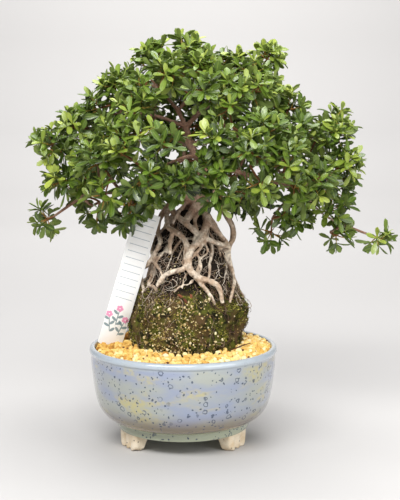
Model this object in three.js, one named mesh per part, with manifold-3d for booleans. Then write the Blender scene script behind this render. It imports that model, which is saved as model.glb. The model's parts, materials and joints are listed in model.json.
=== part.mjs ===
// Satsuki azalea grown as a root-over-soil bonsai, in its round glazed pot on three cloud feet.
// Millimetres, +Z up. The tree is laid out round the pot's axis, with its front towards -Y, and the
// whole is then moved so that the origin lies on the table under the middle of the tree's spread.
import * as THREE from "three";
import { mergeVertices } from "three/addons/utils/BufferGeometryUtils.js";
import Module from "manifold-3d";

const wasm = await Module();
wasm.setup();

// Clearance that neighbours which touch in the real thing keep here.
const GAP = 0.3;

// Where the middle of the tree's spread lies, seen from the pot's axis.
const SPREAD_CENTRE = new THREE.Vector2(28.9, 11.8);

// Pot: outside radius of the lip, turned profile (radius, height) and foot layout.
const POT_SIDES = 32;
const SOIL_SIDES = 16;
const DRAIN_RADIUS = 9;
const POT_PROFILE = [
  [DRAIN_RADIUS, 19.5],
  [60, 16.5],
  [66.5, 16.5],
  [67.3, 24],
  [71.5, 25.6],
  [77.5, 29],
  [83, 34.5],
  [87, 42],
  [90.2, 56],
  [93.3, 84],
  [92.9, 88.4],
  [94.6, 90.8],
  [95, 94.5],
  [93.9, 98],
  [91.6, 99.6],
  [89.6, 98.6],
  [85.6, 55],
  [79, 38],
  [64, 27.5],
  [DRAIN_RADIUS, 26],
];
const FOOT_ANGLES = [-30, 90, 210];
const FOOT_HEIGHT = 20;
const FOOT_INSET = 49;
const FOOT_HALF_WIDTH = 16.5;
const FOOT_DEPTH = 12.5;
const FOOT_TAPER = 0.2;
const TOES = 3;
const TOE_POINTS = 4;
const TOE_RISE = 2.8;

// Mesh over the drain hole: a plate with square holes.
const MESH_SIZE = 34;
const MESH_THICKNESS = 1;
const MESH_FLOOR = 26.75;
const MESH_HOLE = 6.4;
const MESH_PITCH = 10;

// Soil that fills the bowl under the gravel, as a turned profile (radius, height).
const SOIL_PROFILE = [
  [0, 28],
  [63.4, 28],
  [78.3, 39],
  [85, 55.4],
  [87, 90],
  [0, 90],
];

// Root block: its axis, the radius at each height, and how rough its sides are.
const BLOCK_X = 3.5;
const BLOCK_TOP_X = 8;
const BLOCK_SIDES = 20;
const BLOCK_BOTTOM = 70.3;
const BLOCK_BURIED_RADIUS = 56;
const BLOCK_PROFILE = [
  [0, BLOCK_BOTTOM],
  [BLOCK_BURIED_RADIUS - 1, BLOCK_BOTTOM],
  [BLOCK_BURIED_RADIUS, 98],
  [56, 110],
  [56.5, 124],
  [56, 139],
  [49, 152],
  [41.5, 166],
  [37, 185],
  [31, 204],
  [21, 222],
  [11, 234],
  [0, 238],
];
const BLOCK_PLAIN_BELOW = 104;
const BLOCK_ROUGHNESS = 2.6;

// Gravel: a ring that rises from the lip to the block, its top a relief of grains.
const GRAVEL_FLOOR = 90.3;
const GRAVEL_INNER = 57.4;
const GRAVEL_OUTER = 87.7;
const GRAVEL_COLUMNS = 60;
const GRAVEL_ROWS = 5;
const GRAVEL_LIP_HEIGHT = 96.4;
const GRAVEL_HEAP = 6;
const GRAVEL_FRONT_DIP = 3.4;
const GRAVEL_TOP = 110;
const GRAIN_SHIFT = 0.5;
const GRAIN_RISE = 3.6;

// Label: a flat plastic marker with a pointed end, stuck in the gravel and leaning.
const LABEL_WIDTH = 24.5;
const LABEL_LENGTH = 150;
const LABEL_THICKNESS = 0.9;
const LABEL_FOOT = new THREE.Vector3(-76.4, -3.5, 94);
const LABEL_LEAN = 17;
const LABEL_TIP_FORWARD = 10;

// Wood. Each limb is a route of points with the radii along it. Roots first: they hug the block.
const TRUNK = {
  route: [[15, 1, 233], [17, 0, 251], [19, 0, 262], [17, 0, 284], [8, 0, 299], [3, 0, 320]],
  radii: [14, 12.5, 9, 7.2, 6.2, 4.6],
};
const FRONT_ROOTS = [
  { route: [[17, 0, 250], [5, -3, 250], [-8, -4, 247], [-15, -3, 239], [-23, -6, 228], [-25, -10, 216],
    [-22, -23, 207], [-27, -24, 196], [-34, -18, 184], [-42, -3, 173], [-39, -18, 158], [-37, -27, 148]],
    radii: [10, 8.1, 5.5, 4.2, 3.5, 3.2, 3.2, 3, 3, 2.5, 2, 1.6] },
  { route: [[-14, -3, 240], [-6, -18, 232], [5, -30, 224], [16, -33, 215], [26, -31, 209], [36, -25, 205],
    [45, -9, 200]],
    radii: [4.5, 3.8, 3.5, 3.5, 3.5, 3, 2.8] },
  { route: [[-15, -3, 240], [-16, -14, 230], [-14, -23, 221], [-9, -29, 218], [-2, -34, 214], [4, -38, 206],
    [3, -41, 197], [2, -45, 184], [-9, -43.5, 180], [-19, -40, 174], [-25, -38, 164]],
    radii: [3.5, 3.2, 3.2, 3.8, 3.8, 3.5, 3.2, 3.2, 3.2, 3, 2.2] },
  { route: [[-9, -29, 218], [-12, -32, 208], [-12, -38, 196]], radii: [3.2, 2.8, 2.1] },
  { route: [[20, -5, 248], [12, -12, 239], [5, -24, 230], [3, -31, 223]], radii: [6, 5, 4.5, 3] },
  { route: [[20, -4, 244], [24, -20, 228], [21, -30, 218], [16, -37, 209], [8, -41, 201], [6, -43.5, 192],
    [8, -46, 181], [17, -46, 171], [27, -44, 167], [34, -42, 161], [37, -46, 149]],
    radii: [5.5, 5, 4.5, 4.5, 4.5, 4.5, 4.5, 4.5, 4.2, 3.8, 2.5] },
  { route: [[9, -46, 181], [26, -43, 174], [37, -39, 165], [40, -42, 150]], radii: [3.5, 3.5, 3, 2] },
  { route: [[19, 0, 250], [31, 0, 252], [39, -2, 245], [42, -2, 233], [49, -2, 220], [50, -3, 209],
    [46, -7, 198], [47, -8, 184], [51, -12, 168], [49, -29, 158], [46, -36, 148]],
    radii: [7.5, 5.5, 4.2, 3.8, 3.8, 3.8, 3, 2.5, 2.5, 2.2, 1.8] },
  { route: [[18, -4, 245], [25, -20, 227], [37, -19, 213], [45, -9, 203]], radii: [4.2, 3.2, 3, 2.2] },
];
const THICK_ROOT = 5;
const BACK_ROOT_ANGLES = [8, 38, 66, 92, 118, 146, 172];
const BACK_ROOT_HEIGHTS = [230, 214, 196, 178, 160, 146];
const BACK_ROOT_RADII = [6, 5, 4, 3.4, 2.8, 2];
const BACK_ROOT_SWAY = 9;

const BOUGHS = [
  { route: [[3, 0, 318], [-6, 1, 336], [-20, -4, 352], [-32, -6, 366]], radii: [4, 3.2, 2.6, 1.9] },
  { route: [[-5, 1, 334], [6, 3, 350], [8, 4, 366]], radii: [3, 2.4, 1.8] },
  { route: [[3, 0, 318], [14, 0, 330], [32, -2, 345], [50, 0, 352], [64, 0, 360]],
    radii: [4.4, 4, 3.2, 2.4, 1.9] },
  { route: [[3, 0, 318], [-11, 0, 324], [-30, 6, 330], [-56, 4, 332], [-76, 2, 330]],
    radii: [3.6, 3.2, 2.8, 2.2, 1.8] },
  { route: [[8, 0, 299], [-2, 1, 307], [-20, 4, 314], [-50, 2, 304], [-84, -4, 300], [-106, -4, 298]],
    radii: [4.4, 4, 3.4, 3, 2.4, 1.9] },
  { route: [[17, 0, 280], [-8, -20, 274], [-38, -36, 264], [-66, -36, 256], [-92, -20, 254], [-100, -8, 250]],
    radii: [4.4, 3.8, 3.2, 2.8, 2.4, 1.9] },
  { route: [[17, 0, 284], [24, -1, 283], [43, -6, 278], [62, -12, 272], [92, -12, 264], [118, -10, 262],
    [138, -2, 262]],
    radii: [5.4, 5, 4.4, 3.8, 3, 2.4, 1.9] },
  { route: [[16, 0, 292], [38, 3, 294], [64, 4, 293], [92, 6, 302], [120, 4, 304]],
    radii: [3.8, 3.4, 3, 2.4, 1.8] },
  { route: [[94, -12, 264], [120, -16, 250], [140, -12, 232], [158, -6, 222]], radii: [2.8, 2.4, 2, 1.7] },
  { route: [[17, 0, 288], [4, -34, 290], [-16, -62, 284], [-30, -72, 278]], radii: [4, 3.2, 2.4, 1.8] },
  { route: [[17, 0, 282], [26, -34, 272], [22, -66, 266], [14, -84, 266]], radii: [4, 3.2, 2.4, 1.8] },
  { route: [[17, 0, 287], [42, -34, 290], [66, -60, 292], [80, -70, 290]], radii: [4, 3.2, 2.4, 1.8] },
  { route: [[8, 0, 300], [-12, 34, 306], [-38, 60, 304], [-58, 70, 298]], radii: [4, 3.2, 2.4, 1.8] },
  { route: [[12, 0, 296], [10, 38, 292], [0, 72, 284], [2, 94, 282]], radii: [4, 3.2, 2.4, 1.8] },
  { route: [[8, 0, 302], [34, 34, 306], [56, 62, 306], [70, 74, 302]], radii: [4, 3.2, 2.4, 1.8] },
];

// Tufts of foliage: centre and size. A tuft is a small twiggy core with its leaves standing out of it.
const TUFTS = [
  [-128, 0, 300, 13], [-118, -8, 265, 12], [-103, 8, 319, 13], [-74, 0, 347, 13], [-42, 4, 366, 13],
  [-14, 0, 384, 13], [22, 6, 376, 13], [57, 0, 373, 13], [84, -4, 386, 8], [83, 2, 349, 13],
  [108, -4, 325, 13], [152, 0, 317, 11], [160, 0, 274, 11], [136, 12, 293, 12], [149, 0, 242, 12],
  [155, -4, 210, 8], [196, 0, 207, 8], [95, -22, 224, 10], [120, 6, 238, 10], [70, 30, 251, 12],
  [-92, 6, 240, 11], [-138, 0, 226, 8], [-53, -40, 238, 10], [-31, -42, 255, 10], [-91, -30, 281, 13],
  [-70, 20, 305, 13], [-74, -72, 272, 13], [-43, -92, 284, 13], [-15, -78, 263, 10], [4, -104, 272, 8],
  [33, -90, 270, 11], [68, -92, 283, 13], [101, -74, 274, 13], [130, -45, 266, 12], [52, -66, 323, 13],
  [30, -100, 308, 8], [88, -70, 307, 13], [-15, -100, 303, 8], [-48, -62, 320, 14], [-28, -48, 359, 13],
  [23, -52, 361, 12], [58, -50, 352, 12], [4, -44, 372, 10], [-2, 84, 322, 14], [-35, 62, 341, 14],
  [40, 66, 341, 14], [-77, 82, 293, 14], [79, 90, 297, 14], [4, 116, 280, 14], [-41, 88, 254, 13],
  [56, 84, 252, 13], [122, 62, 275, 13], [5, 48, 358, 13],
];
const CROWN_CENTRE = new THREE.Vector3(15, 0, 285);
const FULL_SIZE = 13;
const SMALLEST_SCALE = 0.75;
const PAIRED_FROM = 10;
const TRIPLE_FROM = 14;
const ROSETTE_SPREAD = 15;
const ROSETTE_RISE = 9;
const JOINT_DEPTH = 9;
const KNOT_RADIUS = 4.4;
const KNOT_CLEARANCE = 3;
const TWIG_LENGTH = 7;
const TWIG_RADII = [1.6, 1.2];
const BRANCH_RADII = [1.7, 1.4];
const BRANCH_STARTS = 16;
const BRANCH_TRIES = [0, 2, 4, 6, 8];
const BRANCH_SAGS = [0, 6, -6, 12, -12, 20];
const NUDGE_REACHES = [4, 8, 12];
const NUDGE_WAYS = 10;
const SPIRAL_STEP = 2.4;
const LEAVES_PER_ROSETTE = 6;
const LEAF_LENGTH = 23;
const LEAF_HALF_WIDTH = 7.2;
const LEAF_CLEARANCE = 0.4;
const TOUCH_VOLUME = 0.001;
const SKIN_DEPTH = 0.02;
const LEAF_FORWARD = 0.3;
const LEAF_LIFT = 0.2;
const LEAF_SWINGS = [
  [0, 0], [0.35, 0], [-0.35, 0], [0, 0.35], [0, -0.35], [0.5, 0.4], [-0.5, 0.4], [0.5, -0.4],
];
const LEAF_SHRINKS = [1, 0.85, 0.7];
// Stations along a leaf: share of its length, half width, lift of the edges and depth of the midrib.
const LEAF_STATIONS = [
  { along: 0.54, half: 1, lift: 0.7, keel: 0.7 },
  { along: 1, half: 0.48, lift: 0.3, keel: 0.6 },
];
const LEAF_DROOP = 0.12;

const FINISHES = {
  glaze: { color: 0x9aa9bf, roughness: 0.22 },
  mesh: { color: 0x22262a, roughness: 0.6 },
  soil: { color: 0x5b4630, roughness: 1 },
  gravel: { color: 0xe0b45a, roughness: 0.95 },
  moss: { color: 0x4d4a24, roughness: 1 },
  bark: { color: 0x8d7058, roughness: 0.85 },
  plastic: { color: 0xf2f2ee, roughness: 0.4 },
  leafOld: { color: 0x3f6b26, roughness: 0.45 },
  leafYoung: { color: 0x7ba23a, roughness: 0.45 },
};
const YOUNG_ABOVE = 335;

// A repeatable draw between 0 and 1.
function seeded(seed) {
  let state = seed;
  return () => {
    state = (state + 0x6d2b79f5) | 0;
    let t = Math.imul(state ^ (state >>> 15), 1 | state);
    t = (t + Math.imul(t ^ (t >>> 7), 61 | t)) ^ t;
    return ((t ^ (t >>> 14)) >>> 0) / 4294967296;
  };
}

const vec = (p) => new THREE.Vector3(p[0], p[1], p[2]);
const UP = new THREE.Vector3(0, 0, 1);

function solidOf(geometry) {
  const bare = geometry.clone();
  bare.deleteAttribute("normal");
  bare.deleteAttribute("uv");
  const merged = mergeVertices(bare, 1e-4);
  return new wasm.Manifold(
    new wasm.Mesh({
      numProp: 3,
      vertProperties: merged.attributes.position.array,
      triVerts: new Uint32Array(merged.index.array),
    }),
  );
}

function geometryOf(solid) {
  const mesh = solid.getMesh();
  const geometry = new THREE.BufferGeometry();
  geometry.setAttribute("position", new THREE.BufferAttribute(mesh.vertProperties, 3));
  geometry.setIndex(new THREE.BufferAttribute(mesh.triVerts, 1));
  geometry.computeVertexNormals();
  return geometry;
}

// A profile of (radius, height) pairs turned about +Z.
function turned(profile, sides) {
  const points = profile.map(([r, z]) => new THREE.Vector2(r, z));
  if (profile[0][0] > 0) {
    points.push(points[0].clone());
  }
  return new THREE.LatheGeometry(points, sides).rotateX(Math.PI / 2);
}

function upright(radius, low, high, sides, x = 0) {
  const post = new THREE.CylinderGeometry(radius, radius, high - low, sides).rotateX(Math.PI / 2);
  return solidOf(post.translate(x, 0, (low + high) / 2));
}

// A round limb: a cylinder bent along a smooth route, with its radius drawn between the given radii.
// A margin widens it and lengthens it at both ends.
function limb(route, radii, sides, steps, margin = 0) {
  const points = route.map((p) => (p.isVector3 ? p : vec(p)));
  const curve = new THREE.CatmullRomCurve3(points, false, "centripetal");
  const frames = curve.computeFrenetFrames(steps);
  const geometry = new THREE.CylinderGeometry(1, 1, 1, sides, steps);
  const position = geometry.attributes.position;
  const point = new THREE.Vector3();
  for (let i = 0; i < position.count; i++) {
    const share = THREE.MathUtils.clamp(position.getY(i) + 0.5, 0, 1);
    const row = Math.round(share * steps);
    const place = share * (radii.length - 1);
    const from = Math.min(Math.floor(place), radii.length - 2);
    const radius = THREE.MathUtils.lerp(radii[from], radii[from + 1], place - from) + margin;
    curve.getPoint(share, point);
    if (row === 0 || row === steps) {
      point.addScaledVector(frames.tangents[row], row === 0 ? -margin : margin);
    }
    point.addScaledVector(frames.normals[row], position.getX(i) * radius);
    point.addScaledVector(frames.binormals[row], -position.getZ(i) * radius);
    position.setXYZ(i, point.x, point.y, point.z);
  }
  return solidOf(geometry);
}

// A foot: a block with a scalloped front of toes, narrowing towards the ground.
function potFoot() {
  const outline = new THREE.Shape();
  outline.moveTo(-FOOT_HALF_WIDTH, 0);
  outline.lineTo(FOOT_HALF_WIDTH, 0);
  for (let i = 0; i <= TOES * TOE_POINTS; i++) {
    const share = i / (TOES * TOE_POINTS);
    const bulge = TOE_RISE * Math.abs(Math.sin(share * TOES * Math.PI));
    outline.lineTo(FOOT_HALF_WIDTH * (1 - 2 * share), FOOT_DEPTH + bulge);
  }
  const foot = new THREE.ExtrudeGeometry(outline, { depth: FOOT_HEIGHT, steps: 2, bevelEnabled: false });
  const position = foot.attributes.position;
  for (let i = 0; i < position.count; i++) {
    const narrow = 1 - FOOT_TAPER * (1 - position.getZ(i) / FOOT_HEIGHT) ** 2;
    const y = FOOT_DEPTH / 2 + (position.getY(i) - FOOT_DEPTH / 2) * narrow;
    position.setXY(i, position.getX(i) * narrow, FOOT_INSET + y);
  }
  return foot;
}

function pot() {
  let body = solidOf(turned(POT_PROFILE, POT_SIDES));
  for (const angle of FOOT_ANGLES) {
    body = body.add(solidOf(potFoot().rotateZ(THREE.MathUtils.degToRad(angle - 90))));
  }
  return body;
}

function drainMesh() {
  const plate = new THREE.BoxGeometry(MESH_SIZE, MESH_SIZE, MESH_THICKNESS);
  const middle = MESH_FLOOR + MESH_THICKNESS / 2;
  let body = solidOf(plate.translate(0, 0, middle));
  for (const column of [-0.5, 0.5]) {
    for (const row of [-0.5, 0.5]) {
      const hole = new THREE.BoxGeometry(MESH_HOLE, MESH_HOLE, 3 * MESH_THICKNESS);
      body = body.subtract(solidOf(hole.translate(column * MESH_PITCH, row * MESH_PITCH, middle)));
    }
  }
  return body;
}

function pottingSoil() {
  const fill = solidOf(turned(SOIL_PROFILE, SOIL_SIDES));
  const pit = upright(BLOCK_BURIED_RADIUS + GAP, BLOCK_BOTTOM - GAP, GRAVEL_TOP, POT_SIDES, BLOCK_X);
  return fill.subtract(pit);
}

// The block is a turned lump whose axis drifts towards the trunk, with its sides roughened.
function rootBlock() {
  const geometry = turned(BLOCK_PROFILE, BLOCK_SIDES);
  const position = geometry.attributes.position;
  const top = BLOCK_PROFILE[BLOCK_PROFILE.length - 1][1];
  for (let i = 0; i < position.count; i++) {
    const x = position.getX(i);
    const y = position.getY(i);
    const z = position.getZ(i);
    const above = Math.max(0, z - BLOCK_PLAIN_BELOW);
    const rough = BLOCK_ROUGHNESS * Math.min(1, above / 12);
    const swell = rough * (Math.sin(x / 7 + z / 11) + Math.sin(y / 6 - z / 8) * Math.cos(x / 9));
    const radius = Math.hypot(x, y);
    const scale = radius > 1 ? (radius + swell) / radius : 1;
    const drift = THREE.MathUtils.lerp(BLOCK_X, BLOCK_TOP_X, above / (top - BLOCK_PLAIN_BELOW));
    position.setXYZ(i, x * scale + drift, y * scale, z);
  }
  return solidOf(geometry);
}

// The gravel is a turned ring, sheared so that its top is a lattice of triangles in which every third
// corner is the peak of a grain. The surface rises from the lip to the block, least at the front.
function gravel(slot) {
  const last = GRAVEL_ROWS + 2;
  const profile = [[GRAVEL_INNER, GRAVEL_FLOOR], [GRAVEL_OUTER, GRAVEL_FLOOR]];
  for (let row = 0; row <= GRAVEL_ROWS; row++) {
    profile.push([THREE.MathUtils.lerp(GRAVEL_OUTER, GRAVEL_INNER, row / GRAVEL_ROWS), GRAVEL_LIP_HEIGHT]);
  }
  const geometry = turned(profile, GRAVEL_COLUMNS);
  const stride = profile.length + 1;
  const position = geometry.attributes.position;
  const draw = seeded(11);
  const jitters = Array.from({ length: GRAVEL_COLUMNS * stride }, () => [draw() - 0.5, draw() - 0.5, draw()]);
  for (let i = 0; i < position.count; i++) {
    const column = Math.floor(i / stride) % GRAVEL_COLUMNS;
    const level = i % stride;
    const row = level - 2;
    const onTop = row >= 0 && level <= last;
    const inside = onTop && row > 0 && row < GRAVEL_ROWS;
    const [across, along, height] = jitters[column * stride + level];
    const share = inside ? row + across * GRAIN_SHIFT : THREE.MathUtils.clamp(row, 0, GRAVEL_ROWS);
    const outward = level === 0 || level === stride - 1 ? 0 : level === 1 ? 1 : 1 - share / GRAVEL_ROWS;
    const stagger = (onTop ? row / 2 : 0) + (inside ? along * GRAIN_SHIFT : 0);
    const turn = (2 * Math.PI * (column + stagger)) / GRAVEL_COLUMNS;
    const radius = THREE.MathUtils.lerp(GRAVEL_INNER, GRAVEL_OUTER, outward);
    const x = radius * Math.cos(turn) + BLOCK_X * (1 - outward);
    const y = radius * Math.sin(turn);
    const frontness = Math.max(0, -Math.sin(turn));
    const surface = GRAVEL_LIP_HEIGHT + (1 - outward) * (GRAVEL_HEAP - GRAVEL_FRONT_DIP * frontness);
    const isPeak = (((column - row) % 3) + 3) % 3 === 0;
    const grain = inside && isPeak ? GRAIN_RISE * (0.6 + 0.6 * height) : 0;
    position.setXYZ(i, x, y, onTop ? surface + grain - 0.6 * height : GRAVEL_FLOOR);
  }
  return largest(solidOf(geometry).subtract(slot));
}

function largest(solid) {
  return solid.decompose().reduce((a, b) => (b.volume() > a.volume() ? b : a));
}

// The marker's blade; grown by a margin it is also the slot that it stands in.
function labelBlade(margin) {
  const half = LABEL_WIDTH / 2 + margin;
  const outline = new THREE.Shape();
  outline.moveTo(0, -margin);
  outline.lineTo(half, half * 0.45 - margin);
  outline.lineTo(half, LABEL_LENGTH + margin);
  outline.lineTo(-half, LABEL_LENGTH + margin);
  outline.lineTo(-half, half * 0.45 - margin);
  const thickness = LABEL_THICKNESS + 2 * margin;
  const blade = new THREE.ExtrudeGeometry(outline, { depth: thickness, bevelEnabled: false });
  blade.translate(0, 0, -thickness / 2).rotateX(Math.PI / 2);
  blade.rotateX(THREE.MathUtils.degToRad(LABEL_TIP_FORWARD));
  blade.rotateY(THREE.MathUtils.degToRad(LABEL_LEAN));
  blade.translate(LABEL_FOOT.x, LABEL_FOOT.y, LABEL_FOOT.z);
  return solidOf(blade);
}

// The block's radius at a height, from its profile.
function blockRadius(z) {
  const above = BLOCK_PROFILE.findIndex((station) => station[1] > z);
  const [r0, z0] = BLOCK_PROFILE[above - 1];
  const [r1, z1] = BLOCK_PROFILE[above];
  return THREE.MathUtils.lerp(r0, r1, (z - z0) / (z1 - z0));
}

// Roots on the hidden side run down over the block from the trunk's foot, each at its own angle.
function backRoot(angle, index) {
  const route = [[15, 2, 242]];
  BACK_ROOT_HEIGHTS.forEach((z, step) => {
    const sway = BACK_ROOT_SWAY * Math.sin(step * 1.9 + index * 2.4);
    const turn = THREE.MathUtils.degToRad(angle + sway);
    const reach = blockRadius(z) + 1.6;
    route.push([BLOCK_TOP_X + reach * Math.cos(turn), reach * Math.sin(turn), z]);
  });
  return { route, radii: BACK_ROOT_RADII };
}

// Roots, trunk and boughs in one piece, with a margin that widens every limb for cutting clearances.
function frameLimbs(margin) {
  const grown = (spec, sides, steps) => limb(spec.route, spec.radii, sides, steps, margin);
  const steps = (spec) => spec.route.length - 1;
  return {
    roots: [
      ...FRONT_ROOTS.map((spec) => grown(spec, spec.radii[0] > THICK_ROOT ? 5 : 4, steps(spec))),
      ...BACK_ROOT_ANGLES.map(backRoot).map((spec) => grown(spec, 4, steps(spec))),
    ],
    stem: grown(TRUNK, 8, 7),
    boughs: BOUGHS.map((spec) => grown(spec, 4, steps(spec))),
  };
}

function solidOfFaces(faces) {
  const flat = faces.flatMap((face) => face.flatMap((p) => [p.x, p.y, p.z]));
  const geometry = new THREE.BufferGeometry();
  geometry.setAttribute("position", new THREE.Float32BufferAttribute(flat, 3));
  return solidOf(geometry);
}

const middleOf = (face) => face[0].clone().add(face[1]).add(face[2]).divideScalar(3);
const outwardOf = (face) => new THREE.Triangle(...face).getNormal(new THREE.Vector3());

// The band of six triangles between two three-cornered sections.
function band(from, to) {
  return [0, 1, 2].flatMap((i) => {
    const next = (i + 1) % 3;
    return [
      [from[i], from[next], to[next]],
      [from[i], to[next], to[i]],
    ];
  });
}

// The orders of a section's corners, first the one that lies closest to the section before it.
function ordersOf(section, before) {
  const orders = [0, 1, 2].map((shift) => [0, 1, 2].map((i) => section[(i + shift) % 3]));
  const spread = (order) => order.reduce((sum, p, i) => sum + p.distanceTo(before[i]), 0);
  return orders.sort((a, b) => spread(a) - spread(b));
}

const matched = (section, before) => ordersOf(section, before)[0];

// How often a closed skin of faces wraps round a point.
function wraps(faces, point) {
  const angles = faces.map((face) => {
    const [a, b, c] = face.map((corner) => corner.clone().sub(point));
    const [toA, toB, toC] = [a.length(), b.length(), c.length()];
    const across = toA * toB * toC + a.dot(b) * toC + b.dot(c) * toA + c.dot(a) * toB;
    return 2 * Math.atan2(a.dot(b.clone().cross(c)), across);
  });
  return Math.round(angles.reduce((sum, angle) => sum + angle, 0) / (4 * Math.PI));
}

// A skin lies right side out if it wraps once round each point just behind a face, and round none in
// front of one.
function isRightSideOut(faces) {
  const beside = (face, depth) => middleOf(face).addScaledVector(outwardOf(face), depth);
  return faces.every(
    (face) => wraps(faces, beside(face, -SKIN_DEPTH)) === 1 && wraps(faces, beside(face, SKIN_DEPTH)) === 0,
  );
}

// Three-cornered sections of a leaf: right edge, left edge and midrib at each station.
function leafSections(root, direction, length, scale) {
  const facing = UP.clone().addScaledVector(new THREE.Vector3(direction.x, direction.y, 0), -0.4);
  const top = facing.addScaledVector(direction, -facing.dot(direction)).normalize();
  const side = new THREE.Vector3().crossVectors(top, direction);
  return LEAF_STATIONS.map((station) => {
    const along = station.along * length;
    const sink = LEAF_DROOP * length * station.along ** 2;
    const centre = root.clone().addScaledVector(direction, along).addScaledVector(top, -sink);
    const half = station.half * LEAF_HALF_WIDTH * scale;
    return [
      centre.clone().addScaledVector(side, half).addScaledVector(top, station.lift),
      centre.clone().addScaledVector(side, -half).addScaledVector(top, station.lift),
      centre.clone().addScaledVector(top, -station.keel),
    ];
  });
}

function closedBands(sections) {
  const faces = [[...sections[0]].reverse()];
  for (let i = 1; i < sections.length; i++) {
    faces.push(...band(sections[i - 1], sections[i]));
  }
  faces.push(sections[sections.length - 1]);
  return faces;
}

const boxesNear = (a, b, reach) =>
  [0, 1, 2].every((k) => a.min[k] - reach < b.max[k] && b.min[k] - reach < a.max[k]);

function isClear(solid, others, gap) {
  const box = solid.boundingBox();
  return others.every((other) => !boxesNear(box, other.box, gap) || solid.minGap(other.solid, gap + 1) > gap);
}

const boxed = (solid) => ({ solid, box: solid.boundingBox() });

// A rosette: an eight-sided knot whose hindmost face runs out into its twig. The other faces carry
// leaves. The twig passes through the given three-cornered rings.
function rosette(centre, joint, scale, spin, twigRings) {
  const axis = centre.clone().sub(joint).normalize();
  const geometry = new THREE.OctahedronGeometry(KNOT_RADIUS * scale);
  const corner = new THREE.Vector3(1, 1, 1).normalize();
  const turn = new THREE.Quaternion().setFromUnitVectors(corner, axis.clone().negate());
  geometry.applyQuaternion(turn.premultiply(new THREE.Quaternion().setFromAxisAngle(axis, spin)));
  geometry.translate(centre.x, centre.y, centre.z);
  const position = geometry.attributes.position;
  const faces = [];
  for (let i = 0; i < position.count; i += 3) {
    faces.push([0, 1, 2].map((k) => new THREE.Vector3().fromBufferAttribute(position, i + k)));
  }
  const forward = (face) => outwardOf(face).dot(axis);
  faces.sort((a, b) => forward(a) - forward(b));
  const stalk = [faces[0]];
  for (const ring of twigRings) {
    stalk.push(matched(ring, stalk[stalk.length - 1]));
  }
  const solid = solidOfFaces([...closedBands(stalk).slice(1), ...faces.slice(1)]);
  return { axis, faces, scale, stalk, solid, leaves: new Map() };
}

// One way to grow a tuft: a branch from a bough to a joint, where one to three rosettes part. The
// straightest of them runs on into the branch.
function tuftFrom(start, joint, size, spin, sag) {
  const scale = Math.max(SMALLEST_SCALE, size / FULL_SIZE);
  const outward = joint.clone().sub(CROWN_CENTRE).normalize();
  const side = new THREE.Vector3().crossVectors(outward, UP).normalize();
  const across = side.applyAxisAngle(outward, spin);
  const away = start.clone().addScaledVector(UP, -sag).sub(joint).normalize();
  const end = joint.clone().addScaledVector(away, TWIG_LENGTH);
  const span = start.distanceTo(end);
  const bend = end.clone().addScaledVector(away, span * 0.4);
  const branch = limb([start, bend, end], BRANCH_RADII, 3, sag === 0 ? 1 : 2);
  const foot = triangleAt(end.clone().addScaledVector(away, -GAP), away, TWIG_RADII[0]);
  const count = 1 + [PAIRED_FROM, TRIPLE_FROM].filter((least) => size >= least).length;
  const reach = count > 1 ? ROSETTE_SPREAD * scale : 0;
  const places = Array.from({ length: count }, (_, k) => {
    const sideways = across.clone().applyAxisAngle(outward, (k * 2 * Math.PI) / count);
    return joint.clone().addScaledVector(sideways, reach).addScaledVector(outward, ROSETTE_RISE * scale);
  });
  const inwards = (place) => joint.clone().sub(place).normalize();
  places.sort((a, b) => inwards(b).dot(away) - inwards(a).dot(away));
  const rosettes = places.map((place, k) => {
    const through = inwards(place).add(away).normalize();
    const rings =
      k === 0
        ? [triangleAt(joint, through, TWIG_RADII[0]), foot]
        : [triangleAt(joint, inwards(place), TWIG_RADII[1])];
    return rosette(place, joint, scale, spin + k, rings);
  });
  return { branch, rosettes, span };
}

// Small shifts from a place: none, then even all round at growing distances.
function nudges() {
  const shifts = [new THREE.Vector3()];
  for (const reach of NUDGE_REACHES) {
    for (let i = 0; i < NUDGE_WAYS; i++) {
      const height = 1 - (2 * i + 1) / NUDGE_WAYS;
      const turn = i * SPIRAL_STEP;
      const shift = new THREE.Vector3(Math.cos(turn), Math.sin(turn), 0);
      shift.multiplyScalar(Math.sqrt(1 - height * height)).addScaledVector(UP, height);
      shifts.push(shift.multiplyScalar(reach));
    }
  }
  return shifts;
}

// Tufts go where their list says, or the least way off that finds a free way for branch and twigs.
function growTufts(boughWood, fixed) {
  const draw = seeded(7);
  const starts = BOUGHS.flatMap((bough) => {
    const curve = new THREE.CatmullRomCurve3(bough.route.map(vec), false, "centripetal");
    return curve.getPoints(BRANCH_STARTS).slice(3);
  });
  const shifts = nudges();
  const timber = [boxed(boughWood)];
  const knots = [];
  return TUFTS.map((tuft) => {
    const spin = draw() * Math.PI;
    for (const shift of shifts) {
      const middle = vec(tuft).add(shift);
      const inward = CROWN_CENTRE.clone().sub(middle).normalize();
      const joint = middle.addScaledVector(inward, JOINT_DEPTH);
      const near = [...starts].sort((a, b) => a.distanceTo(joint) - b.distanceTo(joint));
      for (const pick of BRANCH_TRIES) {
        for (const sag of BRANCH_SAGS) {
          const grown = tuftFrom(near[pick], joint, tuft[3], spin, sag);
          const lumps = grown.rosettes.map((one) => boxed(one.solid));
          const isFree =
            grown.span > TWIG_LENGTH &&
            lumps.every((lump) => isClear(lump.solid, timber, KNOT_CLEARANCE)) &&
            lumps.every((lump) => isClear(lump.solid, [...fixed, ...knots], KNOT_CLEARANCE)) &&
            isClear(grown.branch, knots, KNOT_CLEARANCE / 2) &&
            isClear(grown.branch, [...fixed, ...lumps], GAP / 2);
          if (isFree) {
            timber.push(boxed(grown.branch));
            knots.push(...lumps);
            return grown;
          }
        }
      }
    }
    throw new Error("no room for the tuft at " + tuft);
  });
}

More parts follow.
